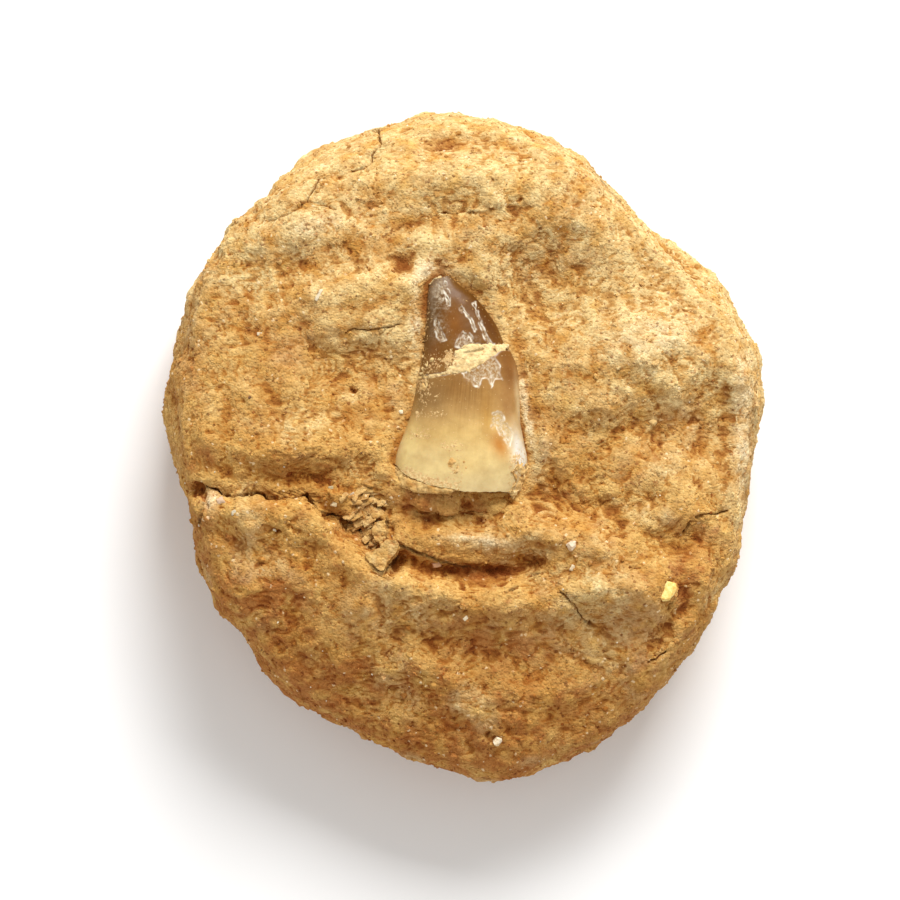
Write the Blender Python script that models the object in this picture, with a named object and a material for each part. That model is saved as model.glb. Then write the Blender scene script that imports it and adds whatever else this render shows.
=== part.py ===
"""A mosasaur tooth lying in a round block of sandy matrix.

The block rests on its worn flat back with the tooth upwards. Metres, +Z up, with X to the right and Y
towards the tooth's tip. The origin is under the middle of the block, on the surface that it lies on.
All sizes below are in millimetres. Places on the face are measured from the middle of its outline.
"""

import math
import random
from typing import NamedTuple

import bmesh
import bpy
import numpy as np
from mathutils import Matrix, Vector, noise

MM = 0.001
GAP = 0.35  # left between pieces for the dust that holds them
MIDDLE = (-0.086, -0.281)  # of the whole block, which the origin is moved to
SMOOTH_ANGLE = 35.0  # degrees, above which an edge stays sharp

# Block: a thick round cake of sandstone, widest at its girth
BLOCK_RADII = (  # every 15 degrees from +X towards +Y
    49.7, 51.8, 50.5, 48.4, 51.0, 53.6, 56.6, 55.9, 54.4, 52.8, 53.5, 50.5,
    50.0, 48.1, 49.0, 50.5, 52.3, 53.1, 56.3, 57.1, 54.5, 52.6, 49.3, 48.7,
)
FACE_HEIGHT = 33.5  # of the face above the back, away from its lumps and hollows
GIRTH_HEIGHT = 14.0
FACE_SHARE, BACK_SHARE = 0.92, 0.84  # of the radius, up to where the rounded edge starts
EDGE_SQUARENESS = 2.2  # 2 is a round edge, and more is a squarer one
RIM_FALL, RIM_POWER = 4.2, 4.5  # of the face towards its edge
SOUTH_FALL, SOUTH_START, SOUTH_END = 6.5, -22.0, -54.0  # the lower block leans back towards its rim
NORTH_FALL, NORTH_START, NORTH_END = 4.5, 40.0, 56.0
BACK_BULGE, BACK_WEAR = 4.0, 2.1  # the back's bulge, and how much of it is worn flat
WEAR_REACH, WEAR_DEPTH = 70.0, 12.0  # of what is worn away, past the block on every side

# The ball that the block starts from: its levels, where face, girth and back lie on it, and the faces kept
BALL_LEVELS = 7
FACE_LATITUDE, GIRTH_LATITUDE, BACK_LATITUDE = 0.43, 0.55, 0.68
KEPT_FACES = 0.078

# Roughness of the stone: wavelength, height, and how creased it is, from 0 to 1
SWELLS = ((17.0, 1.9, 0.0), (8.0, 1.3, 0.45), (3.8, 0.75, 0.3))
SIDE_START, SIDE_END = 0.90, 0.99  # share of the radius over which the roughness turns sideways

# Crown: left and right edge at stations from below its broken base to its tip
CROWN_STATIONS = (
    ((-12.2, -8.6), (8.0, -9.6)),
    ((-12.0, -6.0), (9.2, -7.4)),
    ((-11.4, -1.6), (10.6, -3.6)),
    ((-10.2, 1.6), (10.2, 0.2)),
    ((-9.2, 4.4), (9.5, 3.8)),
    ((-8.3, 8.2), (9.4, 8.0)),
    ((-7.5, 12.1), (9.0, 12.4)),
    ((-6.8, 16.0), (7.5, 16.2)),
    ((-6.4, 20.2), (5.1, 20.5)),
    ((-6.1, 24.2), (2.0, 24.5)),
    ((-5.6, 26.9), (-0.9, 26.8)),
)
CROWN_TIP = (-3.9, 28.7)
CROWN_LEVEL, TIP_RISE = 31.0, 0.8  # height of the two cutting edges above the back, and their rise to the tip
CROWN_BULGE, CROWN_DEPTH = 0.27, 0.34  # above and below the cutting edges, as shares of the width
RING_POINTS, RINGS_PER_STATION = 28, 2
PAST_CROWN = 25.0  # a reach that clears the crown on every side

# The matrix hugs the crown: how far above the cutting edges at base and tip, how far out, and how closely
COLLAR_LEVELS, COLLAR_REACH, COLLAR_HOLD = (0.9, -0.3), 2.0, 0.9

# Lines where the crown is broken, from left to right: off its root, and across its middle
ROOT_BREAK = (
    (-PAST_CROWN, -3.0), (-11.4, -3.5), (-9.9, -5.2), (-5.7, -6.9), (-2.4, -7.4), (1.0, -8.1), (6.0, -7.9),
    (PAST_CROWN, -8.3),
)
BASE_RIM = (
    (-PAST_CROWN, 10.6), (-6.4, 11.1), (-4.0, 11.5), (-1.5, 11.9), (-0.2, 12.1), (1.0, 12.4),
    (2.4, 13.3), (3.7, 14.1), (5.2, 14.9), (6.6, 15.8), (PAST_CROWN, 16.6),
)
TIP_RIM = (
    (-PAST_CROWN, 11.1), (-6.4, 11.6), (-4.0, 12.0), (-2.5, 12.8), (-1.5, 14.4), (-0.2, 15.3),
    (1.0, 15.6), (3.0, 16.4), (4.7, 16.6), (6.6, 16.7), (PAST_CROWN, 17.4),
)
FILL_OUTLINE = (
    (-2.1, 12.35), (-1.2, 12.35), (-0.2, 12.5), (1.0, 12.8), (2.4, 13.7), (3.7, 14.5), (5.2, 15.3),
    (6.3, 15.95), (6.3, 16.3), (4.7, 16.25), (3.0, 16.05), (1.0, 15.2), (-0.2, 14.9), (-1.2, 14.1),
)
FILL_SUNK = 0.5  # below the enamel

# Chip of the block that sticks out over the ledge, its outline about its own middle
FLAKE_AT, FLAKE_THICKNESS, FLAKE_PROUD, FLAKE_TILT = (-13.8, -18.9), 4.2, 2.2, 10.0
FLAKE_OUTLINE = (
    (-2.6, -0.1), (-0.7, 0.3), (1.2, 2.7), (2.8, 1.9), (2.4, -0.1), (1.2, -0.8), (0.3, -2.7), (-0.9, -1.7),
    (-2.0, -1.3),
)

# Finishes: colour and roughness
SAND = ((0.58, 0.36, 0.14), 0.95)
CREAM_ENAMEL = ((0.66, 0.52, 0.30), 0.30)
SMOKY_ENAMEL = ((0.26, 0.17, 0.09), 0.25)
PALE_SAND = ((0.70, 0.52, 0.26), 0.95)


class Lump(NamedTuple):
    """A swelling of the face, or a hollow where its height is negative."""

    x: float
    y: float
    length: float
    width: float
    turn: float
    height: float


class Ridge(NamedTuple):
    """A crest along a line on the face, or a groove where its height is negative."""

    width: float
    height: float
    line: tuple


class Inclusion(NamedTuple):
    """A small piece seated in the face: its size, turn and tilt, and how far it stands out."""

    name: str
    x: float
    y: float
    size: tuple
    turn: float
    tilt: float
    proud: float
    finish: tuple


UPPER_LUMPS = (
    Lump(-2.0, 46.5, 26.0, 4.6, 2, 2.6),  # brow along the top
    Lump(-3.0, 50.0, 4.6, 1.7, 4, -1.8),  # hollow in the brow
    Lump(15.0, 39.5, 12.0, 4.8, -18, 2.4),  # crest at the upper right
    Lump(-2.0, 38.6, 15.0, 2.8, 6, -2.2),  # groove under the brow
    Lump(0.0, 34.4, 12.0, 2.4, 4, 1.0),
    Lump(-26.0, 36.5, 7.0, 4.0, 12, 2.2),  # rounded lump under the upper crack
    Lump(-26.0, 30.6, 9.0, 2.4, 10, -1.2),
    Lump(-10.2, 30.6, 2.6, 2.2, 0, -1.8),  # pit left of the tip
    Lump(14.0, 25.0, 8.0, 8.0, 30, -2.8),  # hollow beside the tip
)
MIDDLE_LUMPS = (
    Lump(2.0, 9.0, 14.0, 23.0, 0, -1.8),  # basin round the tooth
    Lump(31.0, 16.5, 14.0, 6.0, 6, 3.4),  # right shoulder
    Lump(35.0, 2.5, 12.0, 4.6, 0, -2.2),
    Lump(22.0, 6.5, 6.0, 3.0, 0, 1.3),
    Lump(35.0, -6.5, 8.0, 4.0, -8, 1.6),
    Lump(-22.0, 24.6, 13.0, 3.4, 16, 1.9),
    Lump(-18.0, 19.0, 6.0, 2.6, 6, 0.9),
    Lump(-18.0, 13.0, 6.5, 3.6, 0, -1.9),
    Lump(-37.0, 19.0, 5.0, 7.0, 20, -1.1),
    Lump(-38.0, 9.0, 7.0, 6.0, 0, 1.0),
    Lump(-37.0, 0.5, 8.5, 4.6, 0, 1.9),  # left shoulder
    Lump(-26.0, -1.2, 9.0, 2.6, 8, 1.5),
    Lump(-25.0, -5.2, 9.0, 2.0, 8, -1.5),
    Lump(-17.0, -12.2, 5.4, 3.4, -42, -2.4),  # crumbly hollow at the crack's end
)
LOWER_LUMPS = (
    Lump(-1.5, -11.4, 12.5, 3.2, -6, -3.4),  # recess under the tooth's broken base
    Lump(1.5, -15.8, 6.5, 1.9, -4, 1.8),
    Lump(12.0, -14.6, 7.0, 2.2, -10, 1.6),
    Lump(20.0, -17.0, 12.0, 3.4, -14, 2.4),  # ledge at the right
    Lump(17.5, -9.0, 9.0, 3.0, -12, -1.8),
    Lump(35.5, -12.0, 5.5, 3.0, 20, 1.5),
    Lump(37.5, -17.5, 5.0, 2.6, -10, -1.2),
    Lump(27.0, -24.5, 8.0, 4.0, -10, 1.7),
    Lump(27.5, -31.0, 6.0, 3.6, -10, -1.6),
    Lump(36.5, -25.0, 2.6, 4.0, 0, -1.6),
    Lump(30.0, -37.5, 5.0, 4.0, 30, 1.2),
    Lump(-35.0, -13.0, 10.0, 4.2, -8, 2.0),  # lower block's left corner
    Lump(-27.0, -28.0, 5.0, 3.6, 0, -1.3),
    Lump(5.5, -34.0, 9.0, 4.6, 0, -1.7),
    Lump(-8.0, -38.0, 8.0, 3.0, -16, 1.4),
    Lump(14.0, -43.0, 8.0, 3.2, 12, 1.2),
)

LOWER_BLOCK_EDGE = Ridge(3.4, 2.2, (
    (-42, -11), (-28, -11), (-19, -18), (-11, -24), (1, -27), (14, -26.5), (28, -24), (39, -22),
))
CREVICE = Ridge(1.9, -3.2, (
    (-20, -14.5), (-15.4, -18), (-10.5, -19.6), (-5, -21.6), (0.5, -22.8), (5, -22.4), (9, -20.8),
    (12.5, -19.4),
))
MAIN_CRACK = Ridge(0.75, -2.4, (
    (-46.5, -7.6), (-42.5, -7.7), (-39.4, -8.9), (-35.3, -8.2), (-32.5, -8.9), (-26.7, -8.7),
    (-25, -9.8), (-23.6, -11.2), (-21.4, -11.9), (-20.5, -13.4),
))
UPPER_CRACK = Ridge(0.6, -1.0, (
    (-14.4, 52.2), (-14, 50.3), (-15.3, 47.9), (-17.4, 46.2), (-19, 45.9), (-23.8, 44.4),
    (-25.7, 42.1), (-26.4, 40.6), (-28.7, 39.5), (-31.5, 37.9), (-34, 37.6),
))
MIDDLE_CRACK = Ridge(0.6, -0.8, ((-21, 17.8), (-18.1, 19.5), (-15.8, 19), (-11, 20)))
LOOSE_SLATS = (
    Ridge(0.7, 1.5, ((-22.5, -8.2), (-18.6, -12.6))),
    Ridge(0.7, 1.6, ((-20.6, -8.4), (-15.6, -13.4))),
    Ridge(0.7, 1.3, ((-18, -8.8), (-13.4, -12.6))),
)
RIGHT_EDGE = Ridge(1.3, 0.9, ((44.5, 20), (45.8, 8), (46, -3), (45.8, -14), (43, -20), (39, -29), (34, -36)))

LUMPS = UPPER_LUMPS + MIDDLE_LUMPS + LOWER_LUMPS
RIDGES = (LOWER_BLOCK_EDGE, CREVICE, MAIN_CRACK, UPPER_CRACK, MIDDLE_CRACK, *LOOSE_SLATS, RIGHT_EDGE)

INCLUSIONS = (
    Inclusion("bone_chip_yellow", 34.1, -24.6, (3.8, 2.7, 1.5), 62, 14, 0.45, ((0.72, 0.50, 0.17), 0.6)),
    Inclusion("quartz_pebble", 17.9, -16.9, (2.2, 1.7, 1.5), 70, 0, 0.55, ((0.72, 0.58, 0.42), 0.5)),
    Inclusion("bone_chip_white", 5.6, -50.2, (1.9, 1.5, 1.4), 60, 0, 0.6, ((0.78, 0.66, 0.48), 0.6)),
)
INCLUSION_CORNERS = 22
CORNER_RADIUS = 0.55  # a little over half, because corners seldom fall on the outermost points


def clear_scene():
    for obj in list(bpy.data.objects):
        bpy.data.objects.remove(obj)


def material(name, finish):
    colour, roughness = finish
    made = bpy.data.materials.new(name)
    made.use_nodes = True
    shader = made.node_tree.nodes["Principled BSDF"]
    shader.inputs["Base Color"].default_value = (*colour, 1.0)
    shader.inputs["Roughness"].default_value = roughness
    shader.inputs["Metallic"].default_value = 0.0
    return made


def add_object(name, bm, finish=None):
    """A named object from bm, whose points are in millimetres on the face."""
    bmesh.ops.translate(bm, verts=bm.verts, vec=(-MIDDLE[0], -MIDDLE[1], 0.0))
    bmesh.ops.scale(bm, vec=(MM, MM, MM), verts=bm.verts)
    bmesh.ops.recalc_face_normals(bm, faces=bm.faces)
    mesh = bpy.data.meshes.new(name)
    bm.to_mesh(mesh)
    bm.free()
    mesh.shade_smooth()
    mesh.set_sharp_from_angle(angle=math.radians(SMOOTH_ANGLE))
    obj = bpy.data.objects.new(name, mesh)
    bpy.context.scene.collection.objects.link(obj)
    if finish:
        mesh.materials.append(material(name + " surface", finish))
    return obj


def new_collection(name):
    made = bpy.data.collections.new(name)
    bpy.context.scene.collection.children.link(made)
    return made


def add_cutter(name, bm, collection=None):
    """A shape that is only joined to another or cut out of it."""
    cutter = add_object(name, bm)
    cutter.hide_render = True
    cutter.display_type = "WIRE"
    if collection:
        bpy.context.scene.collection.objects.unlink(cutter)
        collection.objects.link(cutter)
    return cutter


def add_boolean(obj, operation, other):
    cut = obj.modifiers.new(operation.title(), "BOOLEAN")
    cut.operation = operation
    if isinstance(other, bpy.types.Collection):
        cut.operand_type = "COLLECTION"
        cut.collection = other
    else:
        cut.object = other


def prism_mesh(outline, bottom, top):
    """An upright prism on a flat outline."""
    bm = bmesh.new()
    floor = bm.faces.new([bm.verts.new((x, y, bottom)) for x, y in outline])
    raised = bmesh.ops.extrude_face_region(bm, geom=[floor])["geom"]
    corners = [part for part in raised if isinstance(part, bmesh.types.BMVert)]
    bmesh.ops.translate(bm, verts=corners, vec=(0, 0, top - bottom))
    return bm


def smooth_step(value, start, end):
    share = np.clip((value - start) / (end - start), 0.0, 1.0)
    return share * share * (3.0 - 2.0 * share)


def line_distance(x, y, line):
    """Distance of each point from a line of straight runs."""
    nearest = np.full(x.shape, np.inf)
    for (ax, ay), (bx, by) in zip(line, line[1:]):
        dx, dy = bx - ax, by - ay
        along = np.clip(((x - ax) * dx + (y - ay) * dy) / (dx * dx + dy * dy), 0.0, 1.0)
        nearest = np.minimum(nearest, np.hypot(x - ax - along * dx, y - ay - along * dy))
    return nearest


def crown_share(y):
    """How far along the crown y lies, from 0 at its base to 1 at its tip."""
    base = CROWN_STATIONS[0][0][1]
    return np.clip((y - base) / (CROWN_TIP[1] - base), 0.0, 1.0)


def crown_level(y):
    """Height of the crown's cutting edges above the back."""
    return CROWN_LEVEL + TIP_RISE * crown_share(y)


def near_crown(x, y):
    """1 under the crown, falling to 0 a little way off it."""
    left, right = (tuple(station[side] for station in CROWN_STATIONS[1:]) + (CROWN_TIP,) for side in (0, 1))
    distance = np.minimum(line_distance(x, y, left), line_distance(x, y, right))
    left_x, right_x = (np.interp(y, [p[1] for p in edge], [p[0] for p in edge]) for edge in (left, right))
    under = (x > left_x) & (x < right_x) & (y > ROOT_BREAK[-1][1]) & (y < CROWN_TIP[1])
    return np.where(under, 1.0, np.exp(-((distance / COLLAR_REACH) ** 2)))


def lump_height(lump, x, y):
    turn = math.radians(lump.turn)
    along = (x - lump.x) * math.cos(turn) + (y - lump.y) * math.sin(turn)
    across = (y - lump.y) * math.cos(turn) - (x - lump.x) * math.sin(turn)
    return lump.height * np.exp(-((along / lump.length) ** 2) - (across / lump.width) ** 2)


def face_height(x, y):
    """Height of the face above the back, without the stone's roughness."""
    height = np.full(x.shape, FACE_HEIGHT)
    height -= SOUTH_FALL * smooth_step(y, SOUTH_START, SOUTH_END)
    height -= NORTH_FALL * smooth_step(y, NORTH_START, NORTH_END)
    for lump in LUMPS:
        height += lump_height(lump, x, y)
    collar = crown_level(y) + np.interp(crown_share(y), (0, 1), COLLAR_LEVELS)
    height += COLLAR_HOLD * near_crown(x, y) * (collar - height)
    for ridge in RIDGES:
        height += ridge.height * np.exp(-((line_distance(x, y, ridge.line) / ridge.width) ** 2))
    return height


def roughness(points):
    """Height of the stone's roughness at each point, creased in its hollows."""
    found = np.zeros(len(points))
    for wavelength, height, creased in SWELLS:
        smooth = np.array([noise.noise(Vector(p) / wavelength) for p in points])
        found += height * ((1.0 - creased) * smooth + creased * (2.0 * np.abs(smooth) - 0.4))
    return found


def block_radius(angle):
    """Radius of the girth at each angle, by a closed cubic curve through BLOCK_RADII."""
    count = len(BLOCK_RADII)
    radii = np.array(BLOCK_RADII)
    place = (angle / (2.0 * math.pi) * count) % count
    first = np.floor(place).astype(int)
    t = place - first
    before, here, there, after = (radii[(first + step) % count] for step in (-1, 0, 1, 2))
    bend = (2 * before - 5 * here + 4 * there - after) * t + (3 * here - before - 3 * there + after) * t * t
    return here + 0.5 * t * (there - before + bend)


def block_profile(latitude):
    """Share of the radius, fall from face to girth and rise from back to girth, at each latitude."""
    rounding = 2.0 / EDGE_SQUARENESS
    quarter = math.pi / 2
    down = np.clip((latitude - FACE_LATITUDE) / (GIRTH_LATITUDE - FACE_LATITUDE), 0.0, 1.0) * quarter
    under = np.clip((latitude - GIRTH_LATITUDE) / (BACK_LATITUDE - GIRTH_LATITUDE), 0.0, 1.0) * quarter
    share = np.select(
        [latitude < FACE_LATITUDE, latitude <= GIRTH_LATITUDE, latitude <= BACK_LATITUDE],
        [
            FACE_SHARE * latitude / FACE_LATITUDE,
            FACE_SHARE + (1.0 - FACE_SHARE) * np.sin(down) ** rounding,
            BACK_SHARE + (1.0 - BACK_SHARE) * np.cos(under).clip(0.0) ** rounding,
        ],
        BACK_SHARE * (1.0 - latitude) / (1.0 - BACK_LATITUDE),
    )
    fall = 1.0 - np.cos(down).clip(0.0) ** rounding
    rise = 1.0 - np.sin(under) ** rounding
    return share, fall, rise


def rim_fall(share):
    return RIM_FALL * np.clip(share / FACE_SHARE, 0.0, 1.0) ** RIM_POWER


def block_points(directions):
    """Points of the block's skin, one for each direction from its middle."""
    latitude = np.arccos(np.clip(directions[:, 2], -1.0, 1.0)) / math.pi
    angle = np.arctan2(directions[:, 1], directions[:, 0])
    share, fall, rise = block_profile(latitude)
    radius = block_radius(angle) * share
    x, y = radius * np.cos(angle), radius * np.sin(angle)
    top = face_height(x, y) - rim_fall(share)
    bottom = BACK_BULGE * np.clip(share / BACK_SHARE, 0.0, 1.0) ** 2 - BACK_WEAR
    above = latitude <= GIRTH_LATITUDE
    z = np.where(above, top + (GIRTH_HEIGHT - top) * fall, bottom + (GIRTH_HEIGHT - bottom) * rise)
    points = np.stack([x, y, z], axis=1)
    rough = roughness(points) * (1.0 - COLLAR_HOLD * near_crown(x, y))
    sideways = smooth_step(share, SIDE_START, SIDE_END)
    points[:, 0] += rough * sideways * np.cos(angle)
    points[:, 1] += rough * sideways * np.sin(angle)
    points[:, 2] += rough * (1.0 - sideways) * np.where(above, 1.0, -1.0)
    return points


def face_point(x, y):
    """Height of the finished face at one place."""
    place = np.array([x]), np.array([y])
    share = np.hypot(*place) / block_radius(np.arctan2(place[1], place[0]))
    plain = float((face_height(*place) - rim_fall(share))[0])
    return plain + float(roughness([(x, y, plain)])[0])


def build_block(chips, pockets):
    """The stone, with its standing chips and a pocket for each piece that it holds."""
    bm = bmesh.new()
    bmesh.ops.create_icosphere(bm, subdivisions=BALL_LEVELS, radius=1.0)
    directions = np.array([vertex.co.normalized() for vertex in bm.verts])
    for vertex, place in zip(bm.verts, block_points(directions)):
        vertex.co = place
    block = add_object("matrix_block", bm, SAND)
    fewer = block.modifiers.new("Fewer faces", "DECIMATE")
    fewer.ratio = KEPT_FACES
    add_boolean(block, "UNION", chips)
    add_boolean(block, "DIFFERENCE", pockets)


def spline(points, steps):
    """Points on a smooth curve through points, steps for each run."""
    ends = [2 * points[0] - points[1], *points, 2 * points[-1] - points[-2]]
    found = []
    for a, b, c, d in zip(ends, ends[1:], ends[2:], ends[3:]):
        for step in range(steps):
            t = step / steps
            bend = (2 * a - 5 * b + 4 * c - d) * t * t + (3 * b - a - 3 * c + d) * t ** 3
            found.append(b + 0.5 * ((c - a) * t + bend))
    return [*found, points[-1]]


def crown_mesh(grow=0.0):
    """The crown and the top of its root, larger on every side by grow."""
    left, right = (
        spline([Vector(station[side]) for station in CROWN_STATIONS], RINGS_PER_STATION) for side in (0, 1)
    )
    bm = bmesh.new()
    rings = []
    for start, end in zip(left, right):
        middle, half = (start + end) / 2, (end - start) / 2
        width = 2 * half.length
        half *= 1.0 + 2 * grow / width
        level = float(crown_level(middle.y))
        ring = []
        for step in range(RING_POINTS):
            angle = 2 * math.pi * step / RING_POINTS
            bulge = (CROWN_BULGE if math.sin(angle) > 0 else CROWN_DEPTH) * width + grow
            flat = middle + half * math.cos(angle)
            ring.append(bm.verts.new((flat.x, flat.y, level + bulge * math.sin(angle))))
        rings.append(ring)
    tip = bm.verts.new((CROWN_TIP[0], CROWN_TIP[1] + grow, float(crown_level(CROWN_TIP[1]))))
    for step in range(RING_POINTS):
        after = (step + 1) % RING_POINTS
        for lower, upper in zip(rings, rings[1:]):
            bm.faces.new((lower[step], lower[after], upper[after], upper[step]))
        bm.faces.new((rings[-1][step], rings[-1][after], tip))
    bm.faces.new(reversed(rings[0]))
    return bm


def crown_side(lower, upper=()):
    """An upright block through the crown, between two of its breaks or from one of them past its tip."""
    upper = upper or ((-PAST_CROWN, 2 * PAST_CROWN), (PAST_CROWN, 2 * PAST_CROWN))
    return prism_mesh((*upper, *reversed(lower)), 0.0, 2 * PAST_CROWN)


def build_crown(pockets):
    """The crown's two fragments, the sand that fills the break between them, and their pocket."""
    pieces = (
        ("tooth_crown_base", crown_side(ROOT_BREAK, BASE_RIM), 0.0, CREAM_ENAMEL),
        ("tooth_crown_tip", crown_side(TIP_RIM), 0.0, SMOKY_ENAMEL),
        ("break_fill", prism_mesh(FILL_OUTLINE, 0.0, 2 * PAST_CROWN), -FILL_SUNK, PALE_SAND),
    )
    for name, side, grow, finish in pieces:
        piece = add_object(name, crown_mesh(grow), finish)
        add_boolean(piece, "INTERSECT", add_cutter(name + "_side", side))
    pocket = add_cutter("crown_pocket", crown_mesh(GAP), pockets)
    pocket_side = crown_side([(x, y - GAP) for x, y in ROOT_BREAK])
    add_boolean(pocket, "INTERSECT", add_cutter("crown_pocket_side", pocket_side))


def seat(bm, x, y, height, turn, tilt):
    """Tilts bm towards its own right, turns it and moves it into place."""
    bmesh.ops.rotate(bm, verts=bm.verts, matrix=Matrix.Rotation(math.radians(tilt), 3, "Y"))
    bmesh.ops.rotate(bm, verts=bm.verts, matrix=Matrix.Rotation(math.radians(turn), 3, "Z"))
    bmesh.ops.translate(bm, verts=bm.verts, vec=(x, y, height))


def inclusion_mesh(piece, grow=0.0):
    """An angular chip or pebble, larger on every side by grow."""
    rng = random.Random(piece.name)
    bm = bmesh.new()
    for _ in range(INCLUSION_CORNERS):
        corner = Vector([rng.uniform(-1.0, 1.0) for _ in range(3)]).normalized()
        bm.verts.new(corner * CORNER_RADIUS)
    hull = bmesh.ops.convex_hull(bm, input=bm.verts)
    inner = [part for part in hull["geom_interior"] if isinstance(part, bmesh.types.BMVert)]
    bmesh.ops.delete(bm, geom=inner, context="VERTS")
    bmesh.ops.scale(bm, vec=[side + 2 * grow for side in piece.size], verts=bm.verts)
    height = face_point(piece.x, piece.y) + piece.proud - piece.size[2] / 2
    seat(bm, piece.x, piece.y, height, piece.turn, piece.tilt)
    return bm


def build_inclusions(pockets):
    for piece in INCLUSIONS:
        add_object(piece.name, inclusion_mesh(piece), piece.finish)
        add_cutter(piece.name + "_pocket", inclusion_mesh(piece, GAP), pockets)


def flake_mesh():
    bm = prism_mesh(FLAKE_OUTLINE, -FLAKE_THICKNESS / 2, FLAKE_THICKNESS / 2)
    height = face_point(*FLAKE_AT) + FLAKE_PROUD - FLAKE_THICKNESS / 2
    seat(bm, *FLAKE_AT, height, 0.0, FLAKE_TILT)
    return bm


def wear_mesh():
    """The slab of stone that is worn away from the back."""
    corners = [(WEAR_REACH * x, WEAR_REACH * y) for x, y in ((-1, -1), (1, -1), (1, 1), (-1, 1))]
    return prism_mesh(corners, -WEAR_DEPTH, 0.0)


def main():
    clear_scene()
    chips = new_collection("chips")
    pockets = new_collection("pockets")
    build_crown(pockets)
    build_inclusions(pockets)
    add_cutter("flake", flake_mesh(), chips)
    add_cutter("worn_back", wear_mesh(), pockets)
    build_block(chips, pockets)


main()
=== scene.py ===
"""The looks of a mosasaur tooth lying in a round block of sandy matrix.

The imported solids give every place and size, and each dressed piece stands where its solid is. Sizes below
are in millimetres and places on the face are measured from the middle of the block's outline, with X to the
right and Y towards the tooth's tip.
"""

import logging
import math
from collections.abc import Iterable, Iterator, Sequence
from contextlib import contextmanager
from dataclasses import dataclass
from enum import Enum
from typing import NamedTuple

import bpy
import numpy as np
from mathutils import Matrix, Vector, noise
from mathutils.bvhtree import BVHTree


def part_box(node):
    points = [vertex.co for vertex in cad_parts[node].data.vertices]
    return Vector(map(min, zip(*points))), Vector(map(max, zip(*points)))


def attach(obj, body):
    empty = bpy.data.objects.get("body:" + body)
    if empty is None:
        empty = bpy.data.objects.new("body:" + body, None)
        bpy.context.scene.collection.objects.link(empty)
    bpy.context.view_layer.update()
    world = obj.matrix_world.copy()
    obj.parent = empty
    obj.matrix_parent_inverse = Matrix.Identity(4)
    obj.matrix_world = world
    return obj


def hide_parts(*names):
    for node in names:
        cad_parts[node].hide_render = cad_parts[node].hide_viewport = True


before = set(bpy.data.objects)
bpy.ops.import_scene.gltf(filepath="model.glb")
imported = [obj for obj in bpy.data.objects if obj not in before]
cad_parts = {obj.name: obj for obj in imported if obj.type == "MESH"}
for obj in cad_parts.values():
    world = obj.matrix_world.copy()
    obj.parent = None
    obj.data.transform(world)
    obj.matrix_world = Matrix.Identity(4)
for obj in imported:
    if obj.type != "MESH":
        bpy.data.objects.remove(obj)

log = logging.getLogger("fossil_tooth")

Array = np.ndarray
Piece = bpy.types.Object
Socket = bpy.types.NodeSocket
Line = Sequence[tuple[float, float]]

MM = 0.001
FACE_SHIFT = np.array((0.086, 0.281, 0.0))  # from the middle of the face's outline to the block's own
CRACK_FLOOR = 12.0  # cracks reach down to this height
PAST_CROWN = 25.0  # a reach that clears the crown on every side
CUTTER_FLOOR, CUTTER_TOP = 10.0, 60.0  # heights that clear the crown below and above
CORNER_ANGLE = 40.0  # degrees from which an edge stays sharp


class Tone(NamedTuple):
    """A colour as the eye reads it, each part from 0 to 255."""

    red: float
    green: float
    blue: float

    def linear(self) -> tuple[float, float, float]:
        """The colour as the shader takes it."""
        parts = (part / 255 for part in self)
        return tuple(part / 12.92 if part < 0.0405 else ((part + 0.055) / 1.055) ** 2.4 for part in parts)

    def rgba(self) -> tuple[float, float, float, float]:
        """The shader's colour with full cover."""
        return (*self.linear(), 1.0)


WHITE = Tone(255, 255, 255)
Stops = Sequence[tuple[float, Tone]]


class Wash(NamedTuple):
    """A soft patch on the face: middle, reach along and across its turn in degrees, and strength."""

    x: float
    y: float
    length: float
    width: float
    turn: float = 0.0
    strength: float = 1.0

    def share(self, x: Array, y: Array) -> Array:
        """How strongly the patch shows at each place.

        Args:
            x: Places on the face, to the right.
            y: Places on the face, towards the tip.

        Returns:
            The share at each place.
        """
        turn = math.radians(self.turn)
        along = (x - self.x) * math.cos(turn) + (y - self.y) * math.sin(turn)
        across = (y - self.y) * math.cos(turn) - (x - self.x) * math.sin(turn)
        return self.strength * np.exp(-((along / self.length) ** 2) - (across / self.width) ** 2)


class Mark(Enum):
    """What a piece's points carry for its material to read."""

    # rusty stains, and on the block painted shade as well
    RUST = "rust_and_shade"
    # pale sand, and on the block painted light as well
    PALE = "pale"
    CHALK = "chalk"
    # painted shade in hollows and on low sides
    HOLLOW = "hollow"
    # painted shade in the cracks
    CRACK = "crack"
    TINT = "tint"
    ALONG = "along"
    ACROSS = "across"
    FLAKED = "flaked"
    # pale broken enamel along flakes, splinters and the break, partly a painted highlight
    RIM = "rim"
    STRIPED = "striped"
    DUST = "dust"


# Crown: left and right edge at stations from below its broken base to its tip
CROWN_STATIONS = (
    ((-12.2, -8.6), (8.0, -9.6)),
    ((-12.0, -6.0), (9.2, -7.4)),
    ((-11.4, -1.6), (10.6, -3.6)),
    ((-10.2, 1.6), (10.2, 0.2)),
    ((-9.2, 4.4), (9.5, 3.8)),
    ((-8.3, 8.2), (9.4, 8.0)),
    ((-7.5, 12.1), (9.0, 12.4)),
    ((-6.8, 16.0), (7.5, 16.2)),
    ((-6.4, 20.2), (5.1, 20.5)),
    ((-6.1, 24.2), (2.0, 24.5)),
    ((-5.8, 26.5), (-0.9, 26.8)),
    ((-5.3, 27.6), (-2.5, 28.35)),
)

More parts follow.
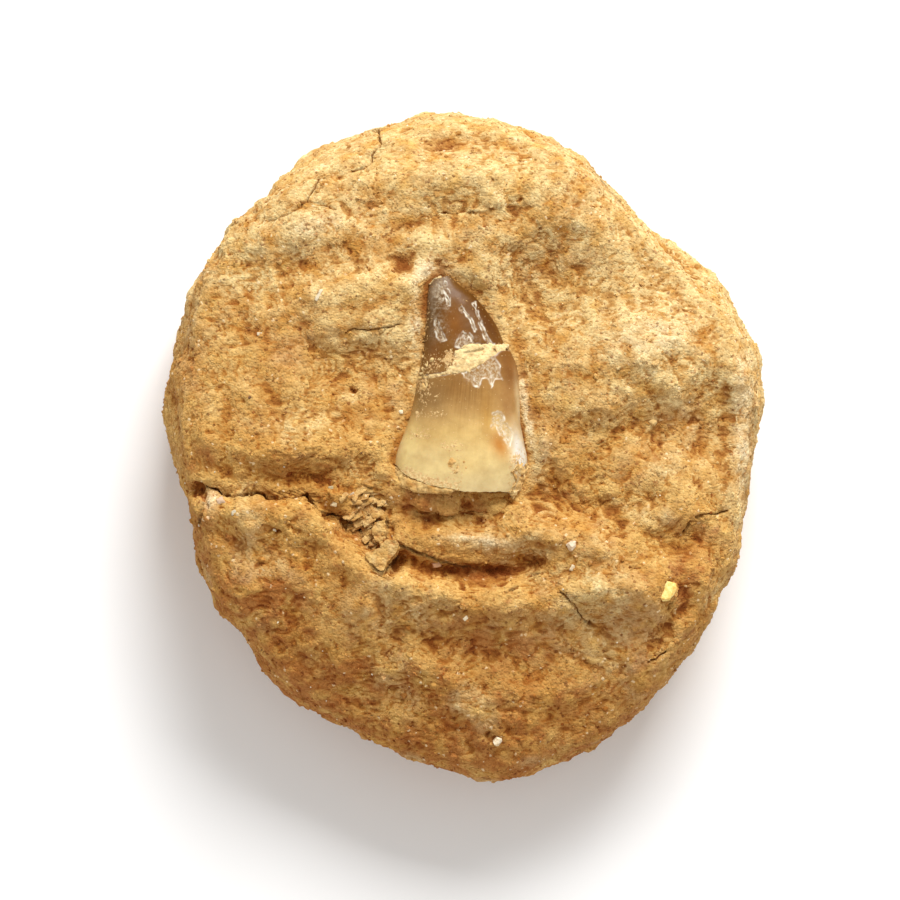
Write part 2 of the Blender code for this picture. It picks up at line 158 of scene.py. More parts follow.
# Lines where the crown is broken, from left to right: off its root, and across its middle
ROOT_BREAK = (
    (-PAST_CROWN, -3.0), (-11.4, -3.5), (-9.9, -5.2), (-5.7, -6.9), (-2.4, -7.4), (1.0, -8.1),
    (6.0, -7.9), (PAST_CROWN, -8.3),
)
BASE_RIM = (
    (-PAST_CROWN, 10.6), (-6.4, 11.1), (-4.0, 11.5), (-1.5, 11.9), (-0.2, 12.1), (1.0, 12.4),
    (2.4, 13.3), (3.7, 14.1), (5.2, 14.9), (6.6, 15.8), (PAST_CROWN, 16.6),
)
TIP_RIM = (
    (-PAST_CROWN, 11.0), (-6.4, 11.4), (-4.0, 11.8), (-2.1, 12.2), (-1.8, 13.6), (-1.4, 15.4),
    (-0.2, 16.0), (1.0, 16.4), (2.7, 16.8), (4.2, 16.5), (6.0, 16.3), (PAST_CROWN, 16.6),
)
FILL_OUTLINE = (
    (-6.9, 10.6), (-4.0, 11.1), (-1.5, 11.5), (-0.2, 11.6), (1.0, 11.8), (2.4, 12.7), (3.7, 13.5),
    (5.2, 14.3), (7.3, 15.2), (7.6, 16.8), (6.0, 17.0), (4.2, 17.3), (2.7, 17.6), (1.0, 17.2),
    (-0.4, 16.8), (-1.9, 16.2), (-2.6, 14.0), (-2.9, 12.9), (-4.0, 12.4), (-6.9, 11.9),
)


class Crust(NamedTuple):
    """Sand on the enamel: how far it stands out, how rough and how pale it is, and its outline."""

    grow: float
    rough: float
    pale: float
    outline: Line


CRUSTS = (
    Crust(
        0.02, 0.3, 0.35, (
            (-14.0, -2.9), (-11.9, -3.2), (-10.4, -4.4), (-8.8, -5.4), (-5.8, -6.4), (-3.2, -7.0),
            (-0.6, -7.5), (-2.4, -8.6), (-8.0, -8.4), (-12.0, -7.0), (-14.0, -6.0),
        ),
    ),
    Crust(
        0.3, 0.6, 0.55, (
            (8.6, -2.8), (10.2, -3.2), (12.4, -2.0), (12.6, -5.0), (11.4, -9.0), (8.2, -9.4),
            (7.5, -8.0), (8.4, -6.4), (7.6, -4.6), (8.6, -3.4),
        ),
    ),
    Crust(
        -0.12, 0.7, 0.5,
        ((-8.6, 12.4), (-6.0, 12.0), (-5.2, 11.2), (-5.9, 9.0), (-7.0, 8.2), (-9.5, 8.4)),
    ),
    Crust(
        -0.32, 0.9, 0.7, (
            (-7.0, 17.0), (-5.9, 15.6), (-4.0, 13.9), (-2.8, 16.4), (-1.0, 16.4), (-1.0, 12.0),
            (-7.4, 11.2),
        ),
    ),
    Crust(
        0.05, 0.5, 1.0,
        ((-7.0, 27.2), (-5.6, 26.4), (-4.7, 27.6), (-3.6, 28.0), (-3.6, 29.6), (-6.4, 29.4)),
    ),
    Crust(
        -0.2, 0.8, 0.4, ((-3.8, 2.0), (-0.8, 1.4), (1.0, 0.2), (0.8, -1.0), (-1.8, -0.8), (-3.8, 0.0)),
    ),
    Crust(-0.2, 0.8, 0.4, ((-9.8, 2.8), (-6.6, 3.0), (-5.4, 1.4), (-6.6, 0.6), (-9.4, 1.0))),
    Crust(-0.2, 0.8, 0.3, ((-3.4, -1.6), (0.6, -1.8), (1.0, -6.0), (-2.0, -6.6), (-3.2, -4.8))), Crust(
        0.0, 0.6, 1.0, ((4.8, 15.4), (6.2, 15.8), (7.8, 16.0), (7.8, 17.2), (6.0, 16.9), (4.8, 16.6)),
    ),
    Crust(-0.12, 0.7, 0.7, ((-7.6, 26.6), (-6.3, 26.6), (-6.2, 22.0), (-6.5, 17.0), (-8.0, 17.0))),
)

# Places where the outer enamel has flaked off
FLAKED_PATCHES = (
    (
        (-0.2, 11.8), (0.3, 10.9), (1.0, 10.4), (1.7, 9.7), (2.4, 9.4), (2.7, 10.2), (2.9, 10.9),
        (3.4, 11.1), (4.0, 10.8), (4.5, 9.4), (4.9, 10.4), (5.2, 10.9), (6.4, 10.8), (6.0, 11.8),
        (6.0, 12.8), (5.5, 13.8), (5.0, 14.8), (3.7, 14.3), (2.7, 13.9), (1.7, 13.6), (1.2, 12.4),
        (0.3, 11.9),
    ),
    (
        (5.4, 5.6), (4.8, 5.3), (4.6, 4.2), (4.4, 2.6), (4.7, 2.4), (5.2, 3.3), (5.6, 2.4), (6.2, 1.3),
        (6.9, 0.3), (7.6, -1.0), (7.7, 0.3), (8.2, 1.7), (8.3, 2.2), (7.4, 2.9), (6.8, 3.6), (6.4, 4.8),
        (6.1, 5.4),
    ),
    (
        (-0.7, 23.2), (-0.9, 22.6), (-0.6, 22.1), (-0.2, 22.3), (0.3, 21.7), (0.9, 20.8), (1.5, 19.6),
        (1.8, 18.9), (2.0, 19.2), (1.7, 20.2), (1.1, 21.2), (0.4, 22.0), (-0.1, 22.7), (-0.3, 23.2),
    ),
    (
        (1.3, 23.6), (2.0, 23.9), (2.1, 23.2), (2.6, 21.4), (2.9, 20.2), (3.7, 18.8), (4.5, 17.6),
        (5.4, 16.6), (4.4, 16.6), (3.6, 17.5), (2.9, 18.7), (2.6, 20.0), (2.3, 21.2), (1.9, 22.6),
    ),
    (
        (-4.7, 21.3), (-4.4, 20.5), (-3.9, 19.3), (-3.2, 18.1), (-2.9, 17.5), (-4.0, 17.3),
        (-4.7, 18.0), (-4.9, 19.2), (-5.0, 20.3),
    ),
    (
        (-1.5, 16.3), (-1.2, 17.4), (-0.7, 18.4), (-0.2, 18.9), (0.3, 18.5), (0.6, 18.4), (1.0, 18.6),
        (1.5, 18.1), (1.8, 17.2), (2.4, 16.4), (1.0, 16.1), (-0.4, 16.0),
    ),
    ((-3.2, 27.4), (-2.9, 27.2), (-2.7, 26.7), (-3.2, 26.4), (-3.4, 26.9)),
    ((-3.4, 25.6), (-2.9, 24.9), (-2.4, 23.9), (-2.3, 23.2), (-2.8, 23.3), (-3.1, 24.4)),
)

# Thin bright lines where the enamel has splintered, pale broken enamel that is partly a painted highlight
SPLINTERS = (
    ((-0.9, 16.4), (-0.5, 17.9), (-0.1, 18.3), (0.2, 17.6), (0.3, 16.4)),
    ((0.3, 17.2), (0.8, 18.0), (1.2, 17.6), (1.6, 16.5)),
    ((1.9, 22.9), (2.4, 21.3), (2.7, 19.8), (3.1, 18.3)), ((-4.2, 26.6), (-3.4, 25.2), (-3.6, 24.0)),
    ((-2.6, 26.2), (-2.2, 24.6), (-2.6, 23.0)), ((1.4, 11.6), (1.9, 10.6), (2.4, 9.8)),
    ((4.4, 12.2), (4.6, 11.0), (4.5, 9.9)), ((5.6, 3.8), (6.7, 1.8), (7.5, 0.2)),
)

# Sand dust on the enamel, and where the enamel is etched grey or striped
DUST_PATCHES = (
    Wash(-4.2, 13.4, 3.0, 1.8, 0, 0.75), Wash(-2.4, 14.6, 1.0, 2.0, 0, 0.95),
    Wash(8.4, -2.4, 1.5, 0.9, 60, 1.0), Wash(-6.8, 9.8, 2.2, 1.2, 85, 1.0),
    Wash(-8.0, 5.0, 1.0, 0.7, 0, 0.8), Wash(-4.5, 4.9, 1.6, 0.6, 0, 0.7),
    Wash(-7.4, 1.5, 2.0, 0.9, 0, 0.9), Wash(-2.2, -0.2, 2.3, 0.9, 0, 0.9),
    Wash(-1.4, -4.2, 2.6, 1.5, 90, 0.8), Wash(-8.7, -4.9, 4.6, 0.8, -20, 1.3),
    Wash(-5.0, -6.4, 4.4, 0.8, -8, 1.2), Wash(-6.3, 22.0, 6.0, 0.5, 87, 0.9),
    Wash(8.8, -5.4, 2.6, 1.4, 80, 1.2), Wash(6.0, 16.2, 1.4, 0.7, 10, 1.0),
    Wash(-6.0, 7.0, 4.0, 2.0, 80, 0.35),
)
ETCHED_PATCHES = (
    Wash(-4.0, 25.6, 2.6, 1.2, 80, 0.95), Wash(-2.9, 23.6, 1.6, 0.6, 100, 0.7),
    Wash(-3.6, 19.6, 1.6, 0.9, 110, 0.6), Wash(0.6, 17.2, 1.9, 1.0, 0, 0.6),
    Wash(1.8, 11.6, 1.8, 1.4, 0, 0.5), Wash(-4.8, 21.5, 4.5, 0.8, 86, 0.4),
)
STRIPED_PATCH = Wash(0.6, 8.2, 4.2, 3.4, 90, 1.0)

# Cracks in the stone: width, depth and line; the deeper a crack, the darker its painted shade
CRACKS = (
    (
        0.17, 1.5, (
            (-43.5, -7.2), (-42.3, -7.4), (-41.5, -7.7), (-40.7, -8.4), (-39.1, -8.9), (-37.6, -8.6),
            (-35.6, -8.2), (-34.6, -8.1), (-33.8, -8.4), (-32.9, -8.9), (-31.4, -8.9),
        ),
    ),
    (0.13, 0.9, ((-31.4, -8.9), (-29.2, -8.9), (-26.5, -8.6))),
    # this groove and its painted shade stand in for the shadow under the flake, and the next for the shadow
    # along the slats' right edge
    (0.3, 1.0, ((-15.2, -20.8), (-13.9, -21.9), (-12.5, -20.6), (-11.1, -18.9))),
    (0.15, 0.7, ((-13.0, -12.4), (-12.8, -14.6), (-13.2, -16.0))),
    (0.17, 1.5, ((-26.5, -8.6), (-25.4, -9.7), (-24.2, -11.1), (-23.0, -11.8), (-21.5, -11.9))),
    (0.2, 1.2, ((-21.8, -11.9), (-20.6, -12.4), (-19.6, -13.0), (-17.4, -14.6), (-15.6, -16.4))),
    (0.18, 1.0, ((-43.8, -9.7), (-44.2, -11.4), (-44.5, -13.3))), (
        0.22, 1.0,
        ((-11.1, -17.1), (-8.6, -17.8), (-6.2, -18.8), (-4.0, -19.7), (-1.3, -20.5), (2.5, -20.9)),
    ),
    (0.16, 0.7, ((21.5, 48.2), (22.8, 46.0), (24.0, 44.0), (24.9, 42.7), (26.5, 41.0))),
    (0.18, 0.7, ((10.8, -22.0), (13.3, -21.7))), (0.18, 0.6, ((7.4, -24.7), (8.9, -24.0))),
    (0.18, 0.6, ((16.1, -24.7), (18.5, -27.0), (19.7, -29.4), (21.2, -30.2))),
    (0.15, 0.7, ((39.0, -12.3), (41.3, -11.8), (44.4, -11.4))),
    (0.16, 0.7, ((38.0, -13.3), (36.8, -15.1))), (0.16, 0.5, ((27.7, -20.7), (29.4, -20.8))),
    (0.16, 0.5, ((34.9, -26.4), (34.4, -27.9))), (0.16, 0.7, ((33.9, -35.1), (31.2, -37.0))), (
        0.16, 0.7,
        ((-14.6, 53.4), (-14.1, 50.4), (-15.1, 49.4), (-15.8, 47.2), (-17.6, 46.4), (-19.0, 46.0)),
    ),
    (
        0.14, 0.5,
        ((-24.4, 44.4), (-25.4, 42.5), (-26.4, 40.8), (-29.2, 38.8), (-31.6, 37.8), (-33.1, 37.6)),
    ),
    (0.15, 0.5, ((-26.4, 40.8), (-23.4, 40.3), (-21.5, 39.5))),
    (0.14, 0.4, ((-19.8, 18.6), (-18.5, 19.3), (-15.8, 19.3), (-13.3, 19.5), (-10.9, 20.0))),
)

# Where sand has run back into the wider cracks and evened them out: width, share and line
EVENED = (
    (
        1.5, 1.0, (
            (-42.6, -7.6), (-39.4, -8.9), (-35.3, -8.2), (-32.5, -8.9), (-26.7, -8.7), (-25.0, -9.8),
            (-23.6, -11.2), (-21.4, -11.9), (-20.5, -13.4),
        ),
    ),
    (1.3, 0.9, ((-21.0, 17.8), (-18.1, 19.5), (-15.8, 19.0), (-11.0, 20.0))), (
        1.3, 0.9, (
            (-14.4, 52.2), (-14.0, 50.3), (-15.3, 47.9), (-17.4, 46.2), (-19.0, 45.9), (-23.8, 44.4),
            (-25.7, 42.1), (-26.4, 40.6), (-28.7, 39.5), (-31.5, 37.9), (-34.0, 37.6),
        ),
    ),
    (
        1.6, 0.5,
        ((-11.5, -19.2), (-5.0, -21.6), (0.5, -22.8), (5.0, -22.4), (9.0, -20.8), (12.5, -19.4)),
    ),
)

# Sand heaped in the hollows: width, height and line
HEAPED = (
    (2.6, 1.4, ((-11.0, -10.2), (-4.0, -11.2), (9.0, -11.8))),
    (1.3, 1.0, ((-13.4, -4.6), (-10.0, -6.8), (-5.6, -8.6), (-2.4, -9.2))),
    (1.3, 0.8, ((-10.8, -7.4), (-6.0, -9.3), (-2.0, -9.9), (2.0, -10.3), (7.5, -10.1))),
    (2.2, 1.3, ((-13.0, 38.2), (-6.0, 38.2), (0.0, 38.8), (6.0, 39.8))),
    (0.9, 0.45, ((9.8, 9.6), (10.2, 6.0), (10.8, 2.5), (11.6, -0.5))),
)

# Pits in the face: a little hole, or a shallow hollow
PITS = (
    Wash(-18.6, 9.2, 0.55, 0.5, 0, 1.5), Wash(-3.2, 38.8, 0.8, 0.45, -25, 1.3),
    Wash(9.4, 41.0, 0.4, 0.35, 0, 0.9), Wash(-0.2, -24.0, 0.5, 0.4, 0, 0.8),
    Wash(0.3, -28.4, 0.5, 0.4, 0, 0.8), Wash(21.2, -30.2, 0.6, 0.5, 0, 1.0),
    Wash(4.2, -49.3, 0.9, 0.7, 0, 1.4), Wash(-44.8, -7.6, 1.5, 0.9, -8, 1.6),
    Wash(-43.7, -9.4, 0.8, 2.0, 8, 1.9), Wash(-46.0, -8.6, 1.6, 1.2, 20, 1.0),
    Wash(-10.2, 30.1, 1.8, 1.6, 0, 0.8), Wash(-31.2, -14.8, 0.4, 0.35, 0, 1.0),
    Wash(-40.9, -10.6, 0.5, 0.3, 20, 0.8), Wash(1.4, -21.2, 6.2, 0.8, -1, 1.5),
    Wash(-22.6, -12.2, 1.2, 0.6, -20, 1.2), Wash(-20.0, -13.0, 1.0, 0.6, -30, 0.9),
    Wash(-12.4, -14.6, 0.8, 2.2, 0, 1.0), Wash(-14.4, -21.6, 2.2, 0.8, -30, 1.2),
    Wash(-11.0, -19.9, 0.9, 1.3, -20, 1.7), Wash(-11.8, -21.0, 1.2, 0.8, 40, 1.2),
)

# Rusty stains on the face; two of them are painted shade, as noted below
RUST_AND_SHADE_PATCHES = (
    Wash(-6.7, 49.7, 3.5, 1.8, 0, 0.7), Wash(-9.9, 30.2, 2.2, 1.8, 0, 0.9),
    Wash(23.5, 45.4, 3.0, 2.6, -50, 0.9), Wash(21.3, 30.2, 4.0, 2.5, 0, 0.6),
    Wash(10.6, 29.2, 4.0, 2.5, 0, 0.6), Wash(-29.4, 16.3, 4.5, 3.0, 20, 0.8),
    Wash(-30.4, 31.4, 5.0, 2.4, 10, 0.6), Wash(39.6, 2.4, 3.0, 2.5, 0, 0.6),
    Wash(35.4, 4.4, 4.0, 2.0, 0, 0.7), Wash(32.3, -2.0, 5.0, 2.5, 0, 0.5),
    Wash(26.9, -30.2, 4.0, 3.0, 0, 1.0), Wash(36.5, -22.7, 1.2, 4.0, 0, 0.9),
    Wash(30.1, -36.6, 3.5, 2.5, 30, 0.7), Wash(4.2, -32.3, 5.0, 3.0, 0, 0.6),
    Wash(10.6, -34.4, 5.0, 3.0, 0, 0.6), Wash(-30.4, -26.9, 5.0, 3.5, 0, 0.6),
    Wash(-24.0, -42.0, 4.0, 3.0, -30, 0.9), Wash(-6.7, -50.7, 5.0, 2.5, 0, 0.7),
    Wash(32.3, -2.2, 1.5, 0.6, -20, 1.3), Wash(17.1, -8.6, 1.0, 1.0, 0, 1.3),
    Wash(37.4, -22.5, 2.4, 2.8, 0, 1.1), Wash(28.0, -30.6, 4.4, 2.6, 0, 0.8),
    # painted shade: on the left rim, and in the crevice below the ledge
    Wash(-47.0, -22.0, 3.0, 10.0, -20, 0.9), Wash(1.4, -21.2, 6.5, 1.1, -1, 1.6),
    Wash(-35.0, -24.5, 6.0, 5.0, 0, 0.9), Wash(18.0, 31.0, 4.0, 2.0, 0, 0.7),
    Wash(-3.0, -9.8, 9.0, 1.6, -5, 0.9), Wash(-46.0, 18.0, 4.0, 16.0, 0, 0.45),
    Wash(-16.0, -14.0, 5.0, 3.0, -40, 0.6),
)
# Pale sand patches; the wide ones at the upper right and lower right and those on the low band at the lower
# left are painted light on slopes that lie in shade
PALE_AND_LIT_PATCHES = (
    Wash(8.4, 46.5, 7.0, 3.5, 0, 0.8), Wash(-25.0, 36.8, 5.5, 2.6, 10, 0.9),
    Wash(-35.8, 29.2, 3.5, 4.0, 0, 0.8), Wash(31.1, 20.7, 8.0, 5.0, 0, 0.9),
    Wash(-14.1, 18.3, 4.5, 2.4, 0, 0.9), Wash(-8.5, 31.4, 4.0, 2.0, 0, 0.6),
    Wash(34.6, -4.4, 5.0, 3.0, 0, 0.6), Wash(10.5, 5.0, 0.9, 6.0, 5, 1.3),
    Wash(12.2, -3.0, 1.6, 3.2, 0, 0.8), Wash(22.0, -28.0, 12.0, 8.0, -30, 0.9),
    Wash(-15.0, -29.0, 9.0, 3.0, 0, 0.6), Wash(30.0, 26.0, 14.0, 12.0, 0, 0.8),
    Wash(0.0, -16.0, 6.0, 1.6, -6, 0.9), Wash(12.0, -16.0, 7.0, 2.2, -12, 0.8),
    Wash(-8.5, 20.0, 1.0, 9.0, 0, 0.7), Wash(-11.0, -26.0, 8.0, 3.0, -14, 0.5),
    Wash(-8.2, 17.0, 0.8, 7.0, 0, 0.7), Wash(47.0, -6.0, 3.0, 14.0, 0, 0.6),
)
CHALKY_PATCHES = (
    Wash(-5.2, 29.2, 2.6, 1.4, 0, 1.5), Wash(10.5, 5.6, 5.0, 0.8, -82, 1.5),
    Wash(13.2, -0.6, 1.2, 2.6, 0, 0.4), Wash(-8.0, 22.0, 1.0, 6.0, 0, 0.6),
    Wash(31.0, 18.0, 6.0, 4.0, 0, 0.5), Wash(-25.0, 36.8, 4.0, 1.6, 10, 0.5),
    Wash(3.0, -16.2, 5.0, 0.9, -6, 0.6), Wash(47.0, 4.0, 1.6, 12.0, 0, 0.7),
    Wash(-42.5, -9.4, 1.2, 1.6, 0, 0.7),
)


def smooth_step(value: Array, start: float, end: float) -> Array:
    """Rises smoothly from 0 at start to 1 at end.

    Args:
        value: Where it is read.
        start: Value at and before which it is 0.
        end: Value at and past which it is 1.

    Returns:
        The share at each value.
    """
    share = np.clip((value - start) / (end - start), 0.0, 1.0)
    return share * share * (3.0 - 2.0 * share)


def held(values: Array, top: float = 1.0) -> Array:
    """Values held between 0 and a top."""
    return np.clip(values, 0.0, top)


def fall(distance: Array, reach: float) -> Array:
    """Falls softly from 1 at no distance to about a third at its reach."""
    return np.exp(-((distance / reach) ** 2))


def line_distance(x: Array, y: Array, line: Line) -> Array:
    """Distance of places on the face from a line of straight runs.

    Args:
        x: Places, to the right.
        y: Places, towards the tip.
        line: The line's corners.

    Returns:
        The distance of each place.
    """
    nearest = np.full(x.shape, np.inf)
    for (ax, ay), (bx, by) in zip(line, line[1:]):
        dx, dy = bx - ax, by - ay
        along = np.clip(((x - ax) * dx + (y - ay) * dy) / (dx * dx + dy * dy), 0.0, 1.0)
        nearest = np.minimum(nearest, np.hypot(x - ax - along * dx, y - ay - along * dy))
    return nearest


def inside(x: Array, y: Array, outline: Line) -> Array:
    """Which places on the face lie inside a closed outline.

    Args:
        x: Places, to the right.
        y: Places, towards the tip.
        outline: The outline's corners.

    Returns:
        True where a place is inside.
    """
    crossed = np.zeros(x.shape, bool)
    for (ax, ay), (bx, by) in zip(outline, [*outline[1:], outline[0]]):
        spans = (ay > y) != (by > y)
        crossed ^= spans & (x < ax + (bx - ax) * (y - ay) / ((by - ay) or 1.0))
    return crossed


def smooth_path(points: Line, count: int) -> Array:
    """Points on a smooth curve through the given ones.

    Args:
        points: Points that the curve goes through.
        count: How many points are wanted.

    Returns:
        The points, one a row.
    """
    given = np.array(points, float)
    padded = np.vstack([2 * given[0] - given[1], given, 2 * given[-1] - given[-2]])
    place = np.linspace(0.0, len(given) - 1.0, count)
    first = np.minimum(place.astype(int), len(given) - 2)
    t = (place - first)[:, None]
    a, b, c, d = (padded[first + step] for step in range(4))
    return b + 0.5 * ((c - a) * t + (2 * a - 5 * b + 4 * c - d) * t**2 + (3 * b - a - 3 * c + d) * t**3)


def ragged(line: Line, step: float, reach: float, seed: int) -> list[tuple[float, float]]:
    """A line broken up into short uneven runs, as brittle enamel breaks.

    Args:
        line: The line's corners, from left to right.
        step: Length of a run.
        reach: How far a corner strays.
        seed: Number that fixes the chance.

    Returns:
        The corners of the ragged line.
    """
    rng = np.random.default_rng(seed)
    found: list[tuple[float, float]] = []
    for (ax, ay), (bx, by) in zip(line, line[1:]):
        runs = max(1, int(math.hypot(bx - ax, by - ay) / step))
        for run in range(runs):
            t = (run + 0.3 * rng.random()) / runs
            found.append((ax + (bx - ax) * t, ay + (by - ay) * t + reach * rng.uniform(-1.0, 1.0)))
    return [*found, line[-1]]


def field(points: Array, size: float, shift: float = 0.0) -> Array:
    """Smooth noise at points.

    Args:
        points: Points in millimetres, one a row.
        size: Size of its waves, or one for each axis.
        shift: Moves the pattern on, so that two fields differ.

    Returns:
        A value from about -1 to 1 for each point.
    """
    return np.array([noise.noise(place) for place in (points / size + shift).tolist()])


def waves(points: Array, *layers: tuple[float, float, float], base: float | Array = 0.0) -> Array:
    """Noise of several sizes, added up.

    Args:
        points: Points in millimetres, one a row.
        layers: Height, size and shift of each.
        base: What they are added to.

    Returns:
        The sum for each point.
    """
    for height, size, shift in layers:
        base = base + height * field(points, size, shift)
    return base


def cells(points: Array, size: float, shift: float = 0.0) -> Array:
    """Distance of each point from the middle of its cell, as crumbs lie packed together.

    Args:
        points: Points in millimetres, one a row.
        size: Size of the cells.
        shift: Moves the pattern on, so that two fields differ.

    Returns:
        The distance for each point, as a share of the size.
    """
    return np.array([noise.voronoi(place)[0][0] for place in (points / size + shift).tolist()])


def deselect_all() -> None:
    """Nothing is selected afterwards."""
    if bpy.context.object and bpy.context.object.mode != "OBJECT":
        bpy.ops.object.mode_set(mode="OBJECT")
    bpy.ops.object.select_all(action="DESELECT")


def pick(*pieces: Piece) -> None:
    """Selects these pieces alone, the first of them active.

    Args:
        pieces: The pieces to select.
    """
    deselect_all()
    for piece in pieces:
        piece.select_set(True)
    bpy.context.view_layer.objects.active = pieces[0]


@contextmanager
def editing(piece: Piece) -> Iterator[None]:
    """Edit mode with all of a piece selected, and object mode afterwards.

    Args:
        piece: The piece to edit.

    Yields:
        Nothing.
    """
    pick(piece)
    bpy.ops.object.mode_set(mode="EDIT")
    bpy.ops.mesh.select_all(action="SELECT")
    yield
    bpy.ops.object.mode_set(mode="OBJECT")


def joined(name: str, pieces: Sequence[Piece]) -> Piece:
    """Joins pieces under one name.

    Args:
        name: The whole's name.
        pieces: The pieces, which the first of them takes in.

    Returns:
        The whole.
    """
    pick(*pieces)
    bpy.ops.object.join()
    pieces[0].name = pieces[0].data.name = name
    return pieces[0]


def apply_modifier(piece: Piece, kind: str, **settings: object) -> None:
    """Adds a modifier and applies it.

    Args:
        piece: The piece that it shapes.
        kind: The modifier's type.
        settings: Its settings by name.
    """
    pick(piece)
    made = piece.modifiers.new(kind.title(), kind)
    for name, value in settings.items():
        setattr(made, name, value)
    bpy.ops.object.modifier_apply(modifier=made.name)


def read_rows(data: bpy.types.bpy_prop_collection, name: str, width: int = 3, kind: type = float) -> Array:
    """Values of all of a mesh's points, edges or faces.

    Args:
        data: The points, edges or faces.
        name: What is read from each.
        width: How many numbers that is.
        kind: Kind of number.

    Returns:
        The values, one row for each.
    """
    flat = np.zeros(len(data) * width, kind)
    data.foreach_get(name, flat)
    return flat.reshape(-1, width)


def read_points(piece: Piece) -> Array:
    """A piece's points, on the face and in millimetres, one a row."""
    return read_rows(piece.data.vertices, "co") / MM - FACE_SHIFT


def read_normals(piece: Piece) -> Array:
    """The way that each of a piece's points faces, one a row."""
    return read_rows(piece.data.vertex_normals, "vector")


def write_points(piece: Piece, points: Array) -> None:
    """Moves a piece's points.

    Args:
        piece: The piece to change.
        points: Its new points, on the face and in millimetres.
    """
    piece.data.vertices.foreach_set("co", ((points + FACE_SHIFT) * MM).ravel())
    piece.data.update()


def roughen(
    piece: Piece, *layers: tuple[float, float, float], corner: float = CORNER_ANGLE
) -> tuple[Array, Array, Array]:
    """Raises a piece's skin by waves and shades it smooth up to its corners.

    Args:
        piece: The piece.
        layers: Height, size and shift of each kind of wave.
        corner: Degrees from which an edge stays sharp.

    Returns:
        Its points and the way they faced before, and how far each was raised.
    """
    points, normals = read_points(piece), read_normals(piece)
    height = waves(points, *layers)
    write_points(piece, points + normals * height[:, None])
    pick(piece)
    bpy.ops.object.shade_smooth_by_angle(angle=math.radians(corner))
    return points, normals, height


def store(piece: Piece, mark: Mark, values: Array) -> None:
    """Keeps a value or a colour for each point of a piece.

    Args:
        piece: The piece.
        mark: What the values say.
        values: One number or one colour for each point.
    """
    if values.ndim == 1:
        piece.data.attributes.new(mark.value, "FLOAT", "POINT").data.foreach_set("value", values)
        return
    cover = np.ones((len(values), 1))
    kept = piece.data.attributes.new(mark.value, "FLOAT_COLOR", "POINT")
    kept.data.foreach_set("color", np.hstack([values, cover]).ravel())


def store_shares(piece: Piece, shares: dict[Mark, Array], full: float = 1.0) -> None:
    """Keeps several shares for each point of a piece, each held between 0 and 1.

    Args:
        piece: The piece.
        shares: The share for each point by what it says.
        full: What a share of 1 is kept as.
    """
    for mark, values in shares.items():
        store(piece, mark, held(values) * full)


def new_piece(name: str, points: Array, faces: Iterable[Sequence[int]]) -> Piece:
    """A piece from its points and faces.

    Args:
        name: The piece's name.
        points: Its points, on the face and in millimetres.
        faces: The points of each face, in order round it.

    Returns:
        The new piece.
    """
    mesh = bpy.data.meshes.new(name)
    mesh.from_pydata(((points + FACE_SHIFT) * MM).tolist(), [], list(faces))
    made = bpy.data.objects.new(name, mesh)
    bpy.context.scene.collection.objects.link(made)
    return made


def merged_copy(node: str, name: str) -> Piece:
    """A copy of a solid whose loose triangles are joined up.

    Args:
        node: The solid's name.
        name: The copy's name.

    Returns:
        The copy, with no material.
    """
    made = bpy.data.objects.new(name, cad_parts[node].data.copy())
    made.data.name = name
    made.data.materials.clear()
    bpy.context.scene.collection.objects.link(made)
    pick(made)
    if made.data.has_custom_normals:
        bpy.ops.mesh.customdata_custom_splitnormals_clear()
    with editing(made):
        bpy.ops.mesh.remove_doubles(threshold=0.002 * MM)
    return made


def prism(name: str, outline: Line, bottom: float, top: float) -> Piece:
    """An upright block on a flat outline.

    Args:
        name: The block's name.
        outline: Its corners on the face.
        bottom: Height of its floor.
        top: Height of its top.

    Returns:
        The block.
    """
    corners = np.array([(x, y, bottom) for x, y in outline])
    made = new_piece(name, corners, [range(len(corners))])
    with editing(made):
        bpy.ops.mesh.extrude_region_move(TRANSFORM_OT_translate={"value": (0.0, 0.0, (top - bottom) * MM)})
        bpy.ops.mesh.select_all(action="SELECT")
        bpy.ops.mesh.normals_make_consistent(inside=False)
    return made


def cut(piece: Piece, cutter: Piece, operation: str) -> None:
    """Joins, cuts or keeps what a cutter covers, and removes the cutter.

    Args:
        piece: The piece to change.
        cutter: The shape that changes it.
        operation: UNION, DIFFERENCE or INTERSECT.
    """
    apply_modifier(piece, "BOOLEAN", operation=operation, object=cutter, solver="EXACT")
    bpy.data.objects.remove(cutter)


def voxel_remesh(piece: Piece, size: float) -> None:
    """Gives a piece one even skin, which joins all that overlaps in it.

    Args:
        piece: The piece.
        size: Length of a face's side.
    """
    pick(piece)
    piece.data.remesh_voxel_size = size * MM
    piece.data.remesh_voxel_adaptivity = 0.0
    bpy.ops.object.voxel_remesh()


def finish_piece(piece: Piece, material: bpy.types.Material, nodes: Sequence[str] = ()) -> None:
    """Gives a finished piece its material, its place in the record and what it stands for.

    Args:
        piece: The piece.
        material: Its material.
        nodes: Solids that it stands for.
    """
    piece.data.materials.clear()
    piece.data.materials.append(material)
    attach(piece, "root")
    if nodes:
        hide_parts(*nodes)
    log.info("%s: %d faces", piece.name, len(piece.data.polygons))


